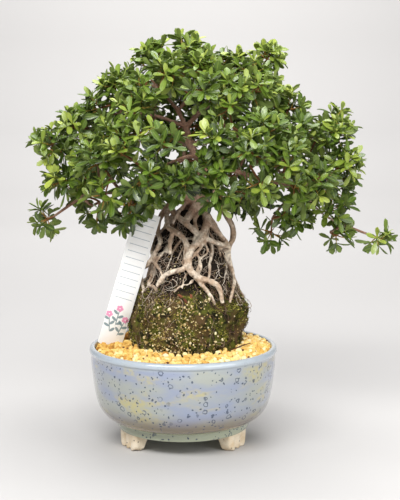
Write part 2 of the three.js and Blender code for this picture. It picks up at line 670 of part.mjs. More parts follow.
// Directions that a leaf tries: its face's own, leaning forwards along the shoot and up, then turned.
function leafDirections(normal, axis) {
  const base = normal.clone().addScaledVector(axis, LEAF_FORWARD).addScaledVector(UP, LEAF_LIFT).normalize();
  const side = new THREE.Vector3().crossVectors(base, UP).normalize();
  const lift = new THREE.Vector3().crossVectors(side, base);
  return LEAF_SWINGS.map(([across, up]) =>
    base.clone().addScaledVector(side, across).addScaledVector(lift, up).normalize(),
  );
}

// A leaf's rings from the knot's face that it grows out of to its tip, in the first order whose skin
// doesn't pass through itself.
function leafRings(face, direction, scale) {
  const [widest, tip] = leafSections(middleOf(face), direction, LEAF_LENGTH * scale, scale);
  const choices = ordersOf(widest, face).map((order) => [face, order, matched(tip, order)]);
  return choices.find((rings) => isRightSideOut(closedBands(rings)));
}

const crosses = (a, b) => a.intersect(b).volume() > TOUCH_VOLUME;

// The first way for a leaf on a face that keeps clear of the pieces around it, and crosses nothing of
// its own rosette, whose pieces it touches at the knot.
function freeLeaf(face, one, others, own) {
  for (const shrink of LEAF_SHRINKS) {
    for (const direction of leafDirections(outwardOf(face), one.axis)) {
      const rings = leafRings(face, direction, shrink * one.scale);
      if (!rings) {
        continue;
      }
      const whole = solidOfFaces(closedBands(rings));
      const blade = solidOfFaces(closedBands(rings.slice(1)));
      const isFree =
        isClear(whole, others, LEAF_CLEARANCE) &&
        isClear(blade, own.slice(1), GAP / 3) &&
        !own.some((piece) => crosses(whole, piece.solid));
      if (isFree) {
        return { rings, whole };
      }
    }
  }
  return null;
}

// Leaves go on one at a time, rosette by rosette, so that all fill evenly. A leaf that would come too
// close to another piece is turned, then shortened, and its face stays bare if nothing helps.
function growLeaves(tufts, wood, fixed) {
  const rosettes = tufts.flatMap((tuft) => tuft.rosettes);
  const filled = rosettes.map((one) => ({ ...boxed(one.solid), owner: one }));
  const around = [boxed(wood), ...fixed];
  for (let slot = rosettes[0].faces.length - 1; slot > 0; slot--) {
    for (const one of rosettes.filter((each) => each.leaves.size < LEAVES_PER_ROSETTE)) {
      const others = [...around, ...filled.filter((piece) => piece.owner !== one)];
      const own = filled.filter((piece) => piece.owner === one);
      const leaf = freeLeaf(one.faces[slot], one, others, own);
      if (leaf) {
        one.leaves.set(slot, leaf.rings);
        filled.push({ ...boxed(leaf.whole), owner: one });
      }
    }
  }
}

// A spray: the rosettes of a tuft in one piece, each with its knot, twig and leaves in one closed skin.
function spray(tuft) {
  const shoots = tuft.rosettes.map((one) => {
    const skin = one.faces.flatMap((face, k) => {
      const rings = k === 0 ? one.stalk : one.leaves.get(k);
      return rings ? closedBands(rings).slice(1) : [face];
    });
    return solidOfFaces(skin);
  });
  return shoots.reduce((all, shoot) => all.add(shoot));
}

// A small three-cornered section across a direction, its corners in the order that faces along it.
function triangleAt(centre, direction, radius) {
  const side = new THREE.Vector3().crossVectors(direction, UP);
  if (side.length() < 0.1) {
    side.set(1, 0, 0);
  }
  side.normalize();
  const over = new THREE.Vector3().crossVectors(direction, side);
  return [0, 1, 2].map((i) => {
    const angle = (i * 2 * Math.PI) / 3;
    return centre
      .clone()
      .addScaledVector(side, radius * Math.cos(angle))
      .addScaledVector(over, radius * Math.sin(angle));
  });
}

const plant = new THREE.Group();
plant.position.set(-SPREAD_CENTRE.x, -SPREAD_CENTRE.y, 0);

function addPiece(name, solid, finish) {
  const material = new THREE.MeshStandardMaterial({ ...FINISHES[finish], metalness: 0 });
  const mesh = new THREE.Mesh(geometryOf(solid), material);
  mesh.name = name;
  plant.add(mesh);
}

const limbs = frameLimbs(0);
const clearances = frameLimbs(GAP);
const label = labelBlade(0);
const slot = labelBlade(GAP);
const channels = wasm.Manifold.union([...clearances.roots, clearances.stem, slot]);
const block = largest(rootBlock().subtract(channels));
const boughWood = wasm.Manifold.union([...limbs.roots, limbs.stem, ...limbs.boughs]);
const bystanders = [boxed(label), boxed(block)];
const tufts = growTufts(boughWood, bystanders);
const wood = wasm.Manifold.union([boughWood, ...tufts.map((tuft) => tuft.branch)]);
growLeaves(tufts, wood, bystanders);

addPiece("pot", pot(), "glaze");
addPiece("drain_mesh", drainMesh(), "mesh");
addPiece("potting_soil", pottingSoil(), "soil");
addPiece("root_ball", block, "moss");
addPiece("top_gravel", gravel(slot), "gravel");
addPiece("label", label, "plastic");
addPiece("trunk", wood, "bark");
tufts.forEach((tuft, index) => {
  const young = TUFTS[index][2] > YOUNG_ABOVE;
  addPiece("spray_" + String(index + 1).padStart(2, "0"), spray(tuft), young ? "leafYoung" : "leafOld");
});

export default plant;
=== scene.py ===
"""Looks of a satsuki azalea bonsai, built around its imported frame.

Sizes are in millimetres, measured from the foot of the pot's axis, with the front of the tree
towards -Y. Site turns them into metres in the frame, where every finished mesh lies. Finishes read
Object coordinates, so their heights are metres and their scales are cycles per metre.
"""

import json
import logging
import math
import random
from collections.abc import Iterable, Sequence
from dataclasses import dataclass, field
from enum import Enum
from functools import cached_property
from itertools import pairwise
from typing import NamedTuple

import bmesh
import bpy
from bmesh import ops
from bmesh.types import BMEdge, BMesh, BMFace, BMVert
from bpy.types import Material, Mesh, Node, NodeSocket, NodeTree
from mathutils import Matrix, Vector, noise
from mathutils.geometry import interpolate_bezier
from mathutils.kdtree import KDTree

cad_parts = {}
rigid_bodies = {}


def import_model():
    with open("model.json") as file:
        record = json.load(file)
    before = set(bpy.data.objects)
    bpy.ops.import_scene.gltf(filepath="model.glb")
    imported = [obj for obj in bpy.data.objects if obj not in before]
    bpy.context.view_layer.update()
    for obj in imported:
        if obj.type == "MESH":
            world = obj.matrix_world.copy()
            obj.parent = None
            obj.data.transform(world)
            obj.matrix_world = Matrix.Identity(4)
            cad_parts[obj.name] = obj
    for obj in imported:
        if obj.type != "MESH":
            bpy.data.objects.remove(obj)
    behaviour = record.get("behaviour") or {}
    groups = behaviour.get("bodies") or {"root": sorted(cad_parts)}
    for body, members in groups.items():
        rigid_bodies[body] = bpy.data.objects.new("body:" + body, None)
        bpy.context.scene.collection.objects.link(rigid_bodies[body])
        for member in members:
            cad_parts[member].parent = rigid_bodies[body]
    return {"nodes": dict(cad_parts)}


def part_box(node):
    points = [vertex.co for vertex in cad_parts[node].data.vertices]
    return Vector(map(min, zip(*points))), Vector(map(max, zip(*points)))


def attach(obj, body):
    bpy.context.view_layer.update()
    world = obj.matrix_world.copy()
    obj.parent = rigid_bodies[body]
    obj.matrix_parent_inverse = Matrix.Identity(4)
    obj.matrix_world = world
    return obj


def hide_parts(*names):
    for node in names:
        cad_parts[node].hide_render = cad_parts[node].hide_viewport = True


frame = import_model()

LOG = logging.getLogger("bonsai")
BODY = "root"
MM = 0.001
UP = Vector((0.0, 0.0, 1.0))
GOLDEN_TURN = math.radians(137.5)

Pair = tuple[float, float]
Point = tuple[float, float, float]
Colour = tuple[float, float, float, float]
Profile = tuple[Pair, ...]
Stops = tuple[tuple[float, Colour], ...]
Feed = NodeSocket | float | tuple[float, ...]


class Slot(Enum):
    """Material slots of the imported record."""

    GLAZE = "glaze"
    ROOT_BALL = "moss_and_roots"
    GRAVEL = "gravel"
    BARK = "bark"
    LABEL = "label_plastic"
    LEAF = "leaf"
    YOUNG_LEAF = "leaf_young"


def tint(red: int, green: int, blue: int) -> Colour:
    """The linear colour that a shader takes for a display colour of 0 to 255."""
    return (*(((c / 255 + 0.055) / 1.055) ** 2.4 for c in (red, green, blue)), 1.0)


def lerp(start: float, end: float, share: float) -> float:
    """The value a share of the way from start to end."""
    return start + (end - start) * share


def clamp(value: float) -> float:
    """The value kept between 0 and 1."""
    return min(1.0, max(0.0, value))


@dataclass(frozen=True)
class Site:
    """Where the pot's axis stands in the frame, in metres."""

    axis: Vector

    @classmethod
    def from_frame(cls) -> "Site":
        """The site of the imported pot, whose box is centred on its axis."""
        low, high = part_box("pot")
        return cls(Vector(((low.x + high.x) / 2, (low.y + high.y) / 2, 0.0)))

    def at(self, point: Sequence[float]) -> Vector:
        """A point in millimetres from the pot's axis, as metres in the frame."""
        return self.axis + Vector(point) * MM

    def plan(self, place: Vector) -> Vector:
        """A place in the frame, as millimetres from the pot's axis."""
        return (place - self.axis) / MM

    def settle(self, bm: BMesh) -> BMesh:
        """Moves a mesh laid out in millimetres to its place in the frame, and hands it back."""
        ops.transform(bm, matrix=Matrix.Translation(self.axis) @ Matrix.Scale(MM, 4), verts=bm.verts)
        return bm


class Ease(NamedTuple):
    """An eased way from start to end, while what it reads goes from low to high."""

    low: float
    high: float
    start: float = 0.0
    end: float = 1.0


class Patches(NamedTuple):
    """Settings of soft-edged patches, which are noise cut at a level."""

    scale: float = 40.0
    level: float = 0.5
    softness: float = 0.08
    detail: float = 3.0


class Relief(NamedTuple):
    """Settings of fine relief from coarse and fine noise, its depth in metres."""

    coarse: float = 200.0
    fine: float = 900.0
    strength: float = 0.5
    depth: float = 0.0005


class Specks(NamedTuple):
    """Settings of round specks, or rings if hollow. Radius, hollow and softness are in cells."""

    scale: float = 150.0
    radius: float = 0.12
    share: float = 0.5
    hollow: float = 0.0
    softness: float = 0.03


Effects = dict[type[NamedTuple], NodeTree]


class Nodes:
    """A node tree, with short ways to add what a finish needs."""

    def __init__(self, tree: NodeTree) -> None:
        """Takes the tree that the nodes go into."""
        self.tree = tree

    def add(self, kind: str, feeds: dict[str | int, Feed] | None = None, **settings: object) -> Node:
        """Adds a node.

        Args:
            kind: The node's type.
            feeds: What each input takes, by name or number. A socket is linked, a value is set.
            **settings: The node's own settings.

        Returns:
            The node.
        """
        node = self.tree.nodes.new(kind)
        for name, value in settings.items():
            setattr(node, name, value)
        for key, value in (feeds or {}).items():
            self.feed(node.inputs[key], value)
        return node

    def feed(self, socket: NodeSocket, value: Feed) -> None:
        """Links a socket to an input, or sets the input's value.

        Args:
            socket: The input.
            value: What it takes.
        """
        if isinstance(value, NodeSocket):
            self.tree.links.new(value, socket)
        else:
            socket.default_value = value

    def math(self, operation: str, first: Feed, second: Feed = 0.0) -> NodeSocket:
        """The result of a sum, product or the like of two values."""
        return self.add("ShaderNodeMath", {0: first, 1: second}, operation=operation).outputs[0]

    def times(self, first: Feed, second: Feed) -> NodeSocket:
        """Two values multiplied."""
        return self.math("MULTIPLY", first, second)

    def vector(self, operation: str, *parts: Feed) -> NodeSocket:
        """The vector that an operation on vectors gives."""
        return self.add("ShaderNodeVectorMath", dict(enumerate(parts)), operation=operation).outputs[0]

    def mix(self, share: Feed, under: Feed, over: Feed) -> NodeSocket:
        """Two colours mixed by a share."""
        return self.add("ShaderNodeMix", {0: share, 6: under, 7: over}, data_type="RGBA").outputs[2]

    def noise(self, vector: Feed, scale: float, detail: float = 3.0, output: int = 0) -> NodeSocket:
        """Cloudy noise between 0 and 1, as a value or as the colour that is output 1."""
        feeds = {"Vector": vector, "Scale": scale, "Detail": detail}
        return self.add("ShaderNodeTexNoise", feeds).outputs[output]

    def span(self, value: Feed, ease: Ease) -> NodeSocket:
        """A value taken along an eased way."""
        feeds = dict(zip(("Value", "From Min", "From Max", "To Min", "To Max"), (value, *ease)))
        return self.add("ShaderNodeMapRange", feeds, interpolation_type="SMOOTHSTEP").outputs[0]


class Skin(Nodes):
    """A material under construction: its node tree and its surface shader."""

    def __init__(self, name: str, roughness: float, effects: Effects | None = None) -> None:
        """Starts a material.

        Args:
            name: Its name.
            roughness: Its plain roughness.
            effects: The shared effects that it may use.
        """
        self.material = bpy.data.materials.new(name)
        self.material.use_nodes = True
        super().__init__(self.material.node_tree)
        self.surface = self.tree.nodes["Principled BSDF"]
        self.effects = effects or {}
        self.set(Roughness=roughness)

    @cached_property
    def place(self) -> NodeSocket:
        """Object coordinates, which are metres in the frame."""
        return self.add("ShaderNodeTexCoord").outputs["Object"]

    @cached_property
    def flat(self) -> NodeSocket:
        """The piece's own UV."""
        return self.add("ShaderNodeUVMap", uv_map="UVMap").outputs[0]

    def set(self, **feeds: Feed) -> None:
        """Feeds the surface shader's inputs, written with _ for each space."""
        for key, value in feeds.items():
            self.feed(self.surface.inputs[key.replace("_", " ")], value)

    def part(self, index: int, vector: Feed) -> NodeSocket:
        """One of a vector's three numbers."""
        return self.add("ShaderNodeSeparateXYZ", {0: vector}).outputs[index]

    def attribute(self, name: str) -> NodeSocket:
        """The value that the piece's own attribute holds."""
        return self.add("ShaderNodeAttribute", attribute_name=name).outputs["Fac"]

    def ramp(self, share: Feed, stops: Stops) -> NodeSocket:
        """A colour read off a ramp.

        Args:
            share: Where on the ramp, from 0 to 1.
            stops: Its two or more stops, each a place with its colour.

        Returns:
            The colour.
        """
        node = self.add("ShaderNodeValToRGB", {0: share})
        elements = node.color_ramp.elements
        while len(elements) < len(stops):
            elements.new(1.0)
        for element, (place, colour) in zip(elements, stops):
            element.position = place
            element.color = colour
        return node.outputs[0]

    def effect(self, settings: Patches | Relief | Specks, vector: Feed | None = None) -> NodeSocket:
        """Places the shared effect that the settings belong to.

        Args:
            settings: What the effect's inputs take.
            vector: The vector that it follows, the place in the frame if not given.

        Returns:
            Its mask, or its normal.
        """
        feeds = {name.title(): value for name, value in settings._asdict().items()}
        feeds["Vector"] = self.place if vector is None else vector
        return self.add("ShaderNodeGroup", feeds, node_tree=self.effects[type(settings)]).outputs[0]


def new_group(name: str, settings: type[NamedTuple], output: str) -> tuple[Nodes, Node]:
    """Starts a shared group, whose inputs are a vector and the fields of its settings.

    Args:
        name: The group's name.
        settings: The class of its settings.
        output: The name of its output: Mask, or Normal for a vector.

    Returns:
        The group's nodes, and its input node.
    """
    tree = bpy.data.node_groups.new(name, "ShaderNodeTree")
    tree.interface.new_socket(name="Vector", in_out="INPUT", socket_type="NodeSocketVector")
    for label, value in settings._field_defaults.items():
        socket = tree.interface.new_socket(name=label.title(), in_out="INPUT", socket_type="NodeSocketFloat")
        socket.default_value = value
    kind = "NodeSocketVector" if output == "Normal" else "NodeSocketFloat"
    tree.interface.new_socket(name=output, in_out="OUTPUT", socket_type=kind)
    nodes = Nodes(tree)
    return nodes, nodes.add("NodeGroupInput")


def mottle_group() -> NodeTree:
    """Soft-edged patches: noise cut at a level.

    Returns:
        The group, with a mask as its output.
    """
    nodes, given = new_group("mottle", Patches, "Mask")
    sent = given.outputs
    cloud = nodes.noise(sent["Vector"], sent["Scale"], sent["Detail"])
    low = nodes.math("SUBTRACT", sent["Level"], sent["Softness"])
    high = nodes.math("ADD", sent["Level"], sent["Softness"])
    nodes.add("NodeGroupOutput", {0: nodes.span(cloud, Ease(low, high))})
    return nodes.tree


def relief_group() -> NodeTree:
    """Fine relief: coarse and fine noise together as a bumped normal.

    Returns:
        The group, with a normal as its output.
    """
    nodes, given = new_group("relief", Relief, "Normal")
    sent = given.outputs
    coarse, fine = (
        nodes.add("ShaderNodeTexNoise", {"Vector": sent["Vector"], "Scale": sent[key]}).outputs[0]
        for key in ("Coarse", "Fine")
    )
    height = nodes.math("ADD", coarse, nodes.times(fine, 0.5))
    feeds = {"Strength": sent["Strength"], "Distance": sent["Depth"], "Height": height}
    nodes.add("NodeGroupOutput", {0: nodes.add("ShaderNodeBump", feeds).outputs[0]})
    return nodes.tree


def specks_group() -> NodeTree:
    """Small round specks, or rings, scattered through the material.

    Returns:
        The group, with a mask as its output.
    """
    nodes, given = new_group("specks", Specks, "Mask")
    sent = given.outputs
    cells = nodes.add("ShaderNodeTexVoronoi", {key: sent[key] for key in ("Vector", "Scale")})
    chance = nodes.add("ShaderNodeSeparateColor", {0: cells.outputs["Color"]}).outputs[0]
    is_chosen = nodes.math("LESS_THAN", chance, sent["Share"])
    away = nodes.math("ABSOLUTE", nodes.math("SUBTRACT", cells.outputs["Distance"], sent["Hollow"]))
    edge = nodes.math("SUBTRACT", sent["Radius"], sent["Softness"])
    feeds = {"Value": away, "From Min": edge, "From Max": sent["Radius"], "To Min": 1.0, "To Max": 0.0}
    disc = nodes.add("ShaderNodeMapRange", feeds).outputs[0]
    nodes.add("NodeGroupOutput", {0: nodes.times(disc, is_chosen)})
    return nodes.tree


class Finish:
    """A finish, whose dress method lays out the nodes of a material."""

    name: str
    roughness: float

    def dress(self, skin: Skin) -> None:
        """Lays out the nodes in a material's skin."""
        raise NotImplementedError

    def material(self, effects: Effects) -> Material:
        """Builds the finish.

        Args:
            effects: The shared effects.

        Returns:
            The material.
        """
        skin = Skin(self.name, self.roughness, effects)
        self.dress(skin)
        return skin.material


@dataclass(frozen=True)
class Glaze(Finish):
    """Glossy lavender-blue glaze with cream patches, dark specks and rings."""

    name: str = "lavender_glaze"
    blue: Colour = tint(140, 149, 170)
    grey: Colour = tint(158, 162, 154)
    cream: Colour = tint(186, 174, 108)
    brown: Colour = tint(118, 98, 66)
    rim: Colour = tint(176, 186, 194)
    band: Colour = tint(166, 174, 150)
    speck: Colour = tint(48, 62, 84)
    roughness: float = 0.16
    coat: float = 0.7
    coat_roughness: float = 0.08
    smear: Point = (0.6, 0.6, 1.7)
    cloud_scale: float = 30.0
    clouds: Ease = Ease(0.36, 0.64)
    creams: Patches = Patches(36.0, 0.6, 0.1)
    flecks: Patches = Patches(260.0, 0.42, 0.2)
    fleck_strength: float = 0.75
    brown_rise: Ease = Ease(0.052, 0.027, 0.0, 0.9)
    band_rise: Ease = Ease(0.0262, 0.0242, 0.0, 0.9)
    rim_rise: Ease = Ease(0.09, 0.0945, 0.0, 0.85)
    mark_rise: Ease = Ease(0.091, 0.094, 1.0, 0.1)
    cluster_scale: float = 26.0
    cluster_shift: Ease = Ease(-0.09, 0.05, -0.12, 0.06)
    clusters: Ease = Ease(0.38, 0.5)
    shake: float = 0.0035
    shake_scale: float = 240.0
    dots: Specks = Specks(270.0, 0.26, 0.55)
    dot_strength: float = 0.9
    rings: Specks = Specks(125.0, 0.085, 0.5, 0.27, 0.05)
    ring_strength: float = 0.8
    relief: Relief = Relief(60.0, 300.0, 0.12)

    def dress(self, skin: Skin) -> None:
        """Lays out the nodes.

        Args:
            skin: The material under construction.
        """
        height = skin.part(2, skin.place)
        smeared = skin.vector("MULTIPLY", skin.place, self.smear)
        colour = skin.mix(skin.span(skin.noise(smeared, self.cloud_scale), self.clouds), self.blue, self.grey)
        flecks = skin.times(skin.effect(self.flecks), self.fleck_strength)
        colour = skin.mix(skin.times(skin.effect(self.creams, smeared), flecks), colour, self.cream)
        for rise, paint in (
            (self.brown_rise, self.brown),
            (self.band_rise, self.band),
            (self.rim_rise, self.rim),
        ):
            colour = skin.mix(skin.span(height, rise), colour, paint)
        marks = skin.times(self.marks(skin), skin.span(height, self.mark_rise))
        skin.set(Base_Color=skin.mix(marks, colour, self.speck), Normal=skin.effect(self.relief))
        skin.set(Coat_Weight=self.coat, Coat_Roughness=self.coat_roughness)

    def marks(self, skin: Skin) -> NodeSocket:
        """The dark marks: dots all over, and rings in clusters, thickest on the right.

        Args:
            skin: The material's nodes.

        Returns:
            The mask.
        """
        shift = skin.span(skin.part(0, skin.place), self.cluster_shift)
        near = skin.math("ADD", skin.noise(skin.place, self.cluster_scale, 1.0), shift)
        drift = skin.noise(skin.place, self.shake_scale, 1.0, 1)
        spots = skin.vector("MULTIPLY_ADD", drift, (self.shake,) * 3, skin.place)
        dots = skin.times(skin.effect(self.dots, spots), self.dot_strength)
        rings = skin.times(skin.effect(self.rings, spots), skin.span(near, self.clusters))
        return skin.math("MAXIMUM", dots, skin.times(rings, self.ring_strength))


@dataclass(frozen=True)
class Toned(Finish):
    """A matt, grainy finish whose colour follows the tone that each crumb or thread carries."""

    name: str
    stops: Stops
    dirt: Colour
    grain: float = 700.0
    roughness: float = 0.92
    dirt_strength: float = 0.35
    gloss: float = 0.25

    def dress(self, skin: Skin) -> None:
        """Lays out the nodes.

        Args:
            skin: The material under construction.
        """
        dirt = skin.times(skin.effect(Patches(self.grain, 0.6, 0.15)), self.dirt_strength)
        skin.set(Base_Color=skin.mix(dirt, skin.ramp(skin.attribute("tone"), self.stops), self.dirt))
        skin.set(Normal=skin.effect(Relief(self.grain, 3 * self.grain, 0.6)), Specular_IOR_Level=self.gloss)


@dataclass(frozen=True)
class Clay(Finish):
    """Bare cream clay of the feet, with small pits and faint cracks."""

    name: str = "cream_clay"
    pale: Colour = tint(236, 222, 198)
    warm: Colour = tint(216, 194, 158)
    pit: Colour = tint(110, 90, 66)
    roughness: float = 0.62
    cloud_scale: float = 90.0
    clouds: Ease = Ease(0.35, 0.7)
    pits: Specks = Specks(260.0, 0.2, 0.3)
    crack_scale: float = 150.0
    cracks: Ease = Ease(0.0, 0.03, 0.2, 0.0)
    relief: Relief = Relief(strength=0.3)

    def dress(self, skin: Skin) -> None:
        """Lays out the nodes.

        Args:
            skin: The material under construction.
        """
        clouds = skin.span(skin.noise(skin.place, self.cloud_scale), self.clouds)
        feeds = {"Vector": skin.place, "Scale": self.crack_scale}
        cells = skin.add("ShaderNodeTexVoronoi", feeds, feature="DISTANCE_TO_EDGE")
        dark = skin.math("MAXIMUM", skin.effect(self.pits), skin.span(cells.outputs[0], self.cracks))
        skin.set(Base_Color=skin.mix(dark, skin.mix(clouds, self.pale, self.warm), self.pit))
        skin.set(Normal=skin.effect(self.relief))


@dataclass(frozen=True)
class Moss(Finish):
    """Dark green-brown moss below and black rooty soil above."""

    name: str = "mossy_soil"
    green: Colour = tint(88, 90, 32)
    dark: Colour = tint(30, 28, 12)
    brown: Colour = tint(92, 70, 44)
    core: Colour = tint(38, 31, 24)
    pale: Colour = tint(196, 176, 124)
    roughness: float = 0.95
    gloss: float = 0.2
    cloud_scale: float = 150.0
    cloud_detail: float = 4.0
    clouds: Ease = Ease(0.4, 0.62)
    fibres: Patches = Patches(70.0, 0.53, 0.06)
    fibre_strength: float = 0.75
    wander_scale: float = 60.0
    wander: float = 0.03
    core_rise: Ease = Ease(0.163, 0.178)
    grit: Specks = Specks(420.0, 0.3, 0.08)
    grit_strength: float = 0.6
    relief: Relief = Relief(500.0, 1600.0, 1.0, 0.001)

    def dress(self, skin: Skin) -> None:
        """Lays out the nodes.

        Args:
            skin: The material under construction.
        """
        clouds = skin.span(skin.noise(skin.place, self.cloud_scale, self.cloud_detail), self.clouds)
        colour = skin.mix(clouds, self.dark, self.green)
        colour = skin.mix(skin.times(skin.effect(self.fibres), self.fibre_strength), colour, self.brown)
        wander = skin.times(skin.noise(skin.place, self.wander_scale), self.wander)
        height = skin.math("ADD", skin.part(2, skin.place), wander)
        colour = skin.mix(skin.span(height, self.core_rise), colour, self.core)
        grit = skin.times(skin.effect(self.grit), self.grit_strength)
        skin.set(Base_Color=skin.mix(grit, colour, self.pale))
        skin.set(Normal=skin.effect(self.relief), Specular_IOR_Level=self.gloss)


@dataclass(frozen=True)
class Bark(Finish):
    """Smooth bark: grey-beige on the roots, red-brown from the trunk up, with darker streaks and painted
    shade in its dips and on its undersides.
    """

    name: str = "azalea_bark"
    root: Colour = tint(190, 164, 138)
    pale: Colour = tint(242, 228, 206)
    shade: Colour = tint(88, 64, 48)
    trunk: Colour = tint(144, 106, 84)
    trunk_shade: Colour = tint(66, 44, 34)
    roughness: float = 0.58
    gloss: float = 0.35
    change: Ease = Ease(0.2, 0.262)
    patches: Patches = Patches(85.0, 0.52, 0.12)
    patch_strength: float = 0.35
    streaks: Patches = Patches(420.0, 0.5, 0.2)
    streak_strength: float = 0.5
    # How far the painted shade layer darkens the bark.
    painted_shade_span: Ease = Ease(0.0, 1.0, 0.0, 0.95)
    relief: Relief = Relief(260.0, 1100.0, 0.55, 0.0008)

    def dress(self, skin: Skin) -> None:
        """Lays out the nodes.

        Args:
            skin: The material under construction.
        """
        rise = skin.span(skin.part(2, skin.place), self.change)
        patches = skin.effect(self.patches)
        roots = skin.mix(patches, self.root, self.pale)
        limbs = skin.mix(self.patch_strength, self.trunk, skin.mix(patches, self.trunk, self.root))
        # The dark colours serve both the bark's own streaks and painted shade, which the skin's layer marks
        # in dips and on undersides.
        dark = skin.mix(rise, self.shade, self.trunk_shade)
        worn = skin.times(skin.effect(self.streaks), self.streak_strength)
        hollow = skin.span(skin.attribute("hollow"), self.painted_shade_span)
        skin.set(Base_Color=skin.mix(skin.math("MAXIMUM", worn, hollow), skin.mix(rise, roots, limbs), dark))
        skin.set(Normal=skin.effect(self.relief), Specular_IOR_Level=self.gloss)


@dataclass(frozen=True)
class Leafage(Finish):
    """Leaf surface: colour by each leaf's tone, which is how old it is with painted shade, a paler midrib
    with side veins, a matt pale underside.
    """

    name: str
    old: Colour = tint(17, 34, 9)
    mid: Colour = tint(85, 112, 29)
    young: Colour = tint(173, 186, 75)
    under: Colour = tint(114, 132, 60)
    rib: Colour = tint(148, 166, 72)
    roughness: float = 0.3
    under_roughness: float = 0.75
    gloss: float = 0.6
    blotches: Patches = Patches(160.0, 0.5, 0.25)
    blotch_strength: float = 0.3
    midrib: Ease = Ease(0.02, 0.06, 0.55, 0.0)
    vein_spacing: float = 46.0
    veins: Ease = Ease(0.82, 1.0, 0.0, 0.22)
    under_strength: float = 0.75
    rib_strength: float = 0.35
    rib_height: float = 0.0003

    def dress(self, skin: Skin) -> None:
        """Lays out the nodes.

        Args:
            skin: The material under construction.
        """
        # The tone runs from old to young leaves; its dark end also paints the shade inside, low down and
        # behind the crown.
        age_and_shade_stops = ((0.0, self.old), (0.5, self.mid), (1.0, self.young))
        blotch = skin.times(skin.effect(self.blotches), self.blotch_strength)
        colour = skin.mix(blotch, skin.ramp(skin.attribute("tone"), age_and_shade_stops), self.old)
        off_rib = skin.math("ABSOLUTE", skin.math("SUBTRACT", skin.part(0, skin.flat), 0.5))
        slant = skin.math("SUBTRACT", skin.part(1, skin.flat), off_rib)
        veins = skin.span(skin.math("SINE", skin.times(slant, self.vein_spacing)), self.veins)
        lines = skin.math("MAXIMUM", skin.span(off_rib, self.midrib), veins)
        below = skin.attribute("underside")
        colour = skin.mix(lines, colour, self.rib)
        colour = skin.mix(skin.times(below, self.under_strength), colour, self.under)
        gloss = skin.span(below, Ease(0.0, 1.0, self.roughness, self.under_roughness))
        feeds = {"Strength": self.rib_strength, "Distance": self.rib_height, "Height": lines}
        skin.set(Base_Color=colour, Roughness=gloss, Specular_IOR_Level=self.gloss)
        skin.set(Normal=skin.add("ShaderNodeBump", feeds).outputs[0])


@dataclass(frozen=True)
class MarkerPlastic(Finish):
    """White plastic of the marker, with ruled lines and a small printed sprig.

    Sizes of what is printed are in widths of the marker, up from its foot.
    """

    name: str = "marker_plastic"
    white: Colour = tint(244, 244, 242)
    grime: Colour = tint(216, 212, 200)
    line: Colour = tint(166, 174, 182)
    sprig: Colour = tint(96, 124, 130)
    petal: Colour = tint(226, 128, 172)
    roughness: float = 0.38
    gloss: float = 0.4
    smudges: Patches = Patches(60.0, 0.62, 0.15)
    smudge_strength: float = 0.5
    rules: float = 3.4
    rule_share: float = 0.09
    rules_from: float = 2.35
    rule_half_width: float = 0.38
    stems: tuple[Point, ...] = ((0.34, 0.78, 0.26), (0.68, 0.7, -0.2), (0.5, 1.12, 0.0))
    stem_half: Point = (0.024, 0.38, 1.0)
    stem_rise: float = 0.36
    leaf_half: Point = (0.06, 0.13, 1.0)
    leaf_rise: float = 0.14
    leaf_gap: float = 0.15
    leaf_reach: float = 0.12
    leaf_turn: float = 0.95
    bloom_rise: float = 0.78
    bloom_reach: float = 0.085
    petals: int = 5
    petal_half: Point = (0.066, 0.066, 1.0)
    print_edge: Ease = Ease(1.05, 0.85, 0.0, 0.85)
    relief: Relief = Relief(strength=0.06)

    def dress(self, skin: Skin) -> None:
        """Lays out the nodes.

        Args:
            skin: The material under construction.
        """
        smudges = skin.times(skin.effect(self.smudges), self.smudge_strength)
        across, up = skin.part(0, skin.flat), skin.part(1, skin.flat)
        beat = skin.math("FRACT", skin.times(up, self.rules))
        is_above = skin.math("GREATER_THAN", up, self.rules_from)
        rule = skin.times(skin.math("LESS_THAN", beat, self.rule_share), is_above)
        off_middle = skin.math("ABSOLUTE", skin.math("SUBTRACT", across, 0.5))
        inside = skin.math("LESS_THAN", off_middle, self.rule_half_width)
        front = skin.attribute("front")
        shown = skin.times(skin.times(rule, inside), front)
        colour = skin.mix(shown, skin.mix(smudges, self.white, self.grime), self.line)
        for centre, size, turn, paint in self.motif():
            colour = skin.mix(skin.times(self.oval(skin, centre, size, turn), front), colour, paint)
        skin.set(Base_Color=colour, Normal=skin.effect(self.relief), Specular_IOR_Level=self.gloss)

    def motif(self) -> list[tuple[Point, Point, float, Colour]]:
        """The ovals that the sprigs are made of.

        Returns:
            The centre, half size, turn and colour of each.
        """
        ovals: list[tuple[Point, Point, float, Colour]] = []
        for stem in self.stems:
            lean = stem[2]
            ovals.append((self.on_stem(stem, self.stem_rise), self.stem_half, lean, self.sprig))
            for step, side in enumerate((1, -1, 1, -1)):
                centre = self.on_stem(stem, self.leaf_rise + self.leaf_gap * step, self.leaf_reach * side)
                ovals.append((centre, self.leaf_half, lean - side * self.leaf_turn, self.sprig))
            for petal in range(self.petals):
                angle = petal * math.tau / self.petals
                reach = (self.bloom_reach * math.cos(angle), self.bloom_reach * math.sin(angle))
                centre = self.on_stem(stem, self.bloom_rise, *reach)
                ovals.append((centre, self.petal_half, 0.0, self.petal))
        return ovals

    @staticmethod
    def on_stem(stem: Point, rise: float, across: float = 0.0, up: float = 0.0) -> Point:
        """A point at a height on a stem, moved across and up."""
        x, y, lean = stem
        return (x + across - rise * math.sin(lean), y + rise + up, 0.0)

    def oval(self, skin: Skin, centre: Point, size: Point, turn: float) -> NodeSocket:
        """A soft-edged oval as a mask.

        Args:
            skin: The material's nodes.
            centre: The oval's centre.
            size: Its half width and half height.
            turn: Its turn, in radians.

        Returns:
            The mask.
        """
        feeds = {"Vector": skin.flat, "Location": centre, "Rotation": (0.0, 0.0, turn), "Scale": size}
        local = skin.add("ShaderNodeMapping", feeds, vector_type="TEXTURE").outputs[0]
        reach = skin.add("ShaderNodeVectorMath", {0: local}, operation="LENGTH").outputs["Value"]
        return skin.span(reach, self.print_edge)


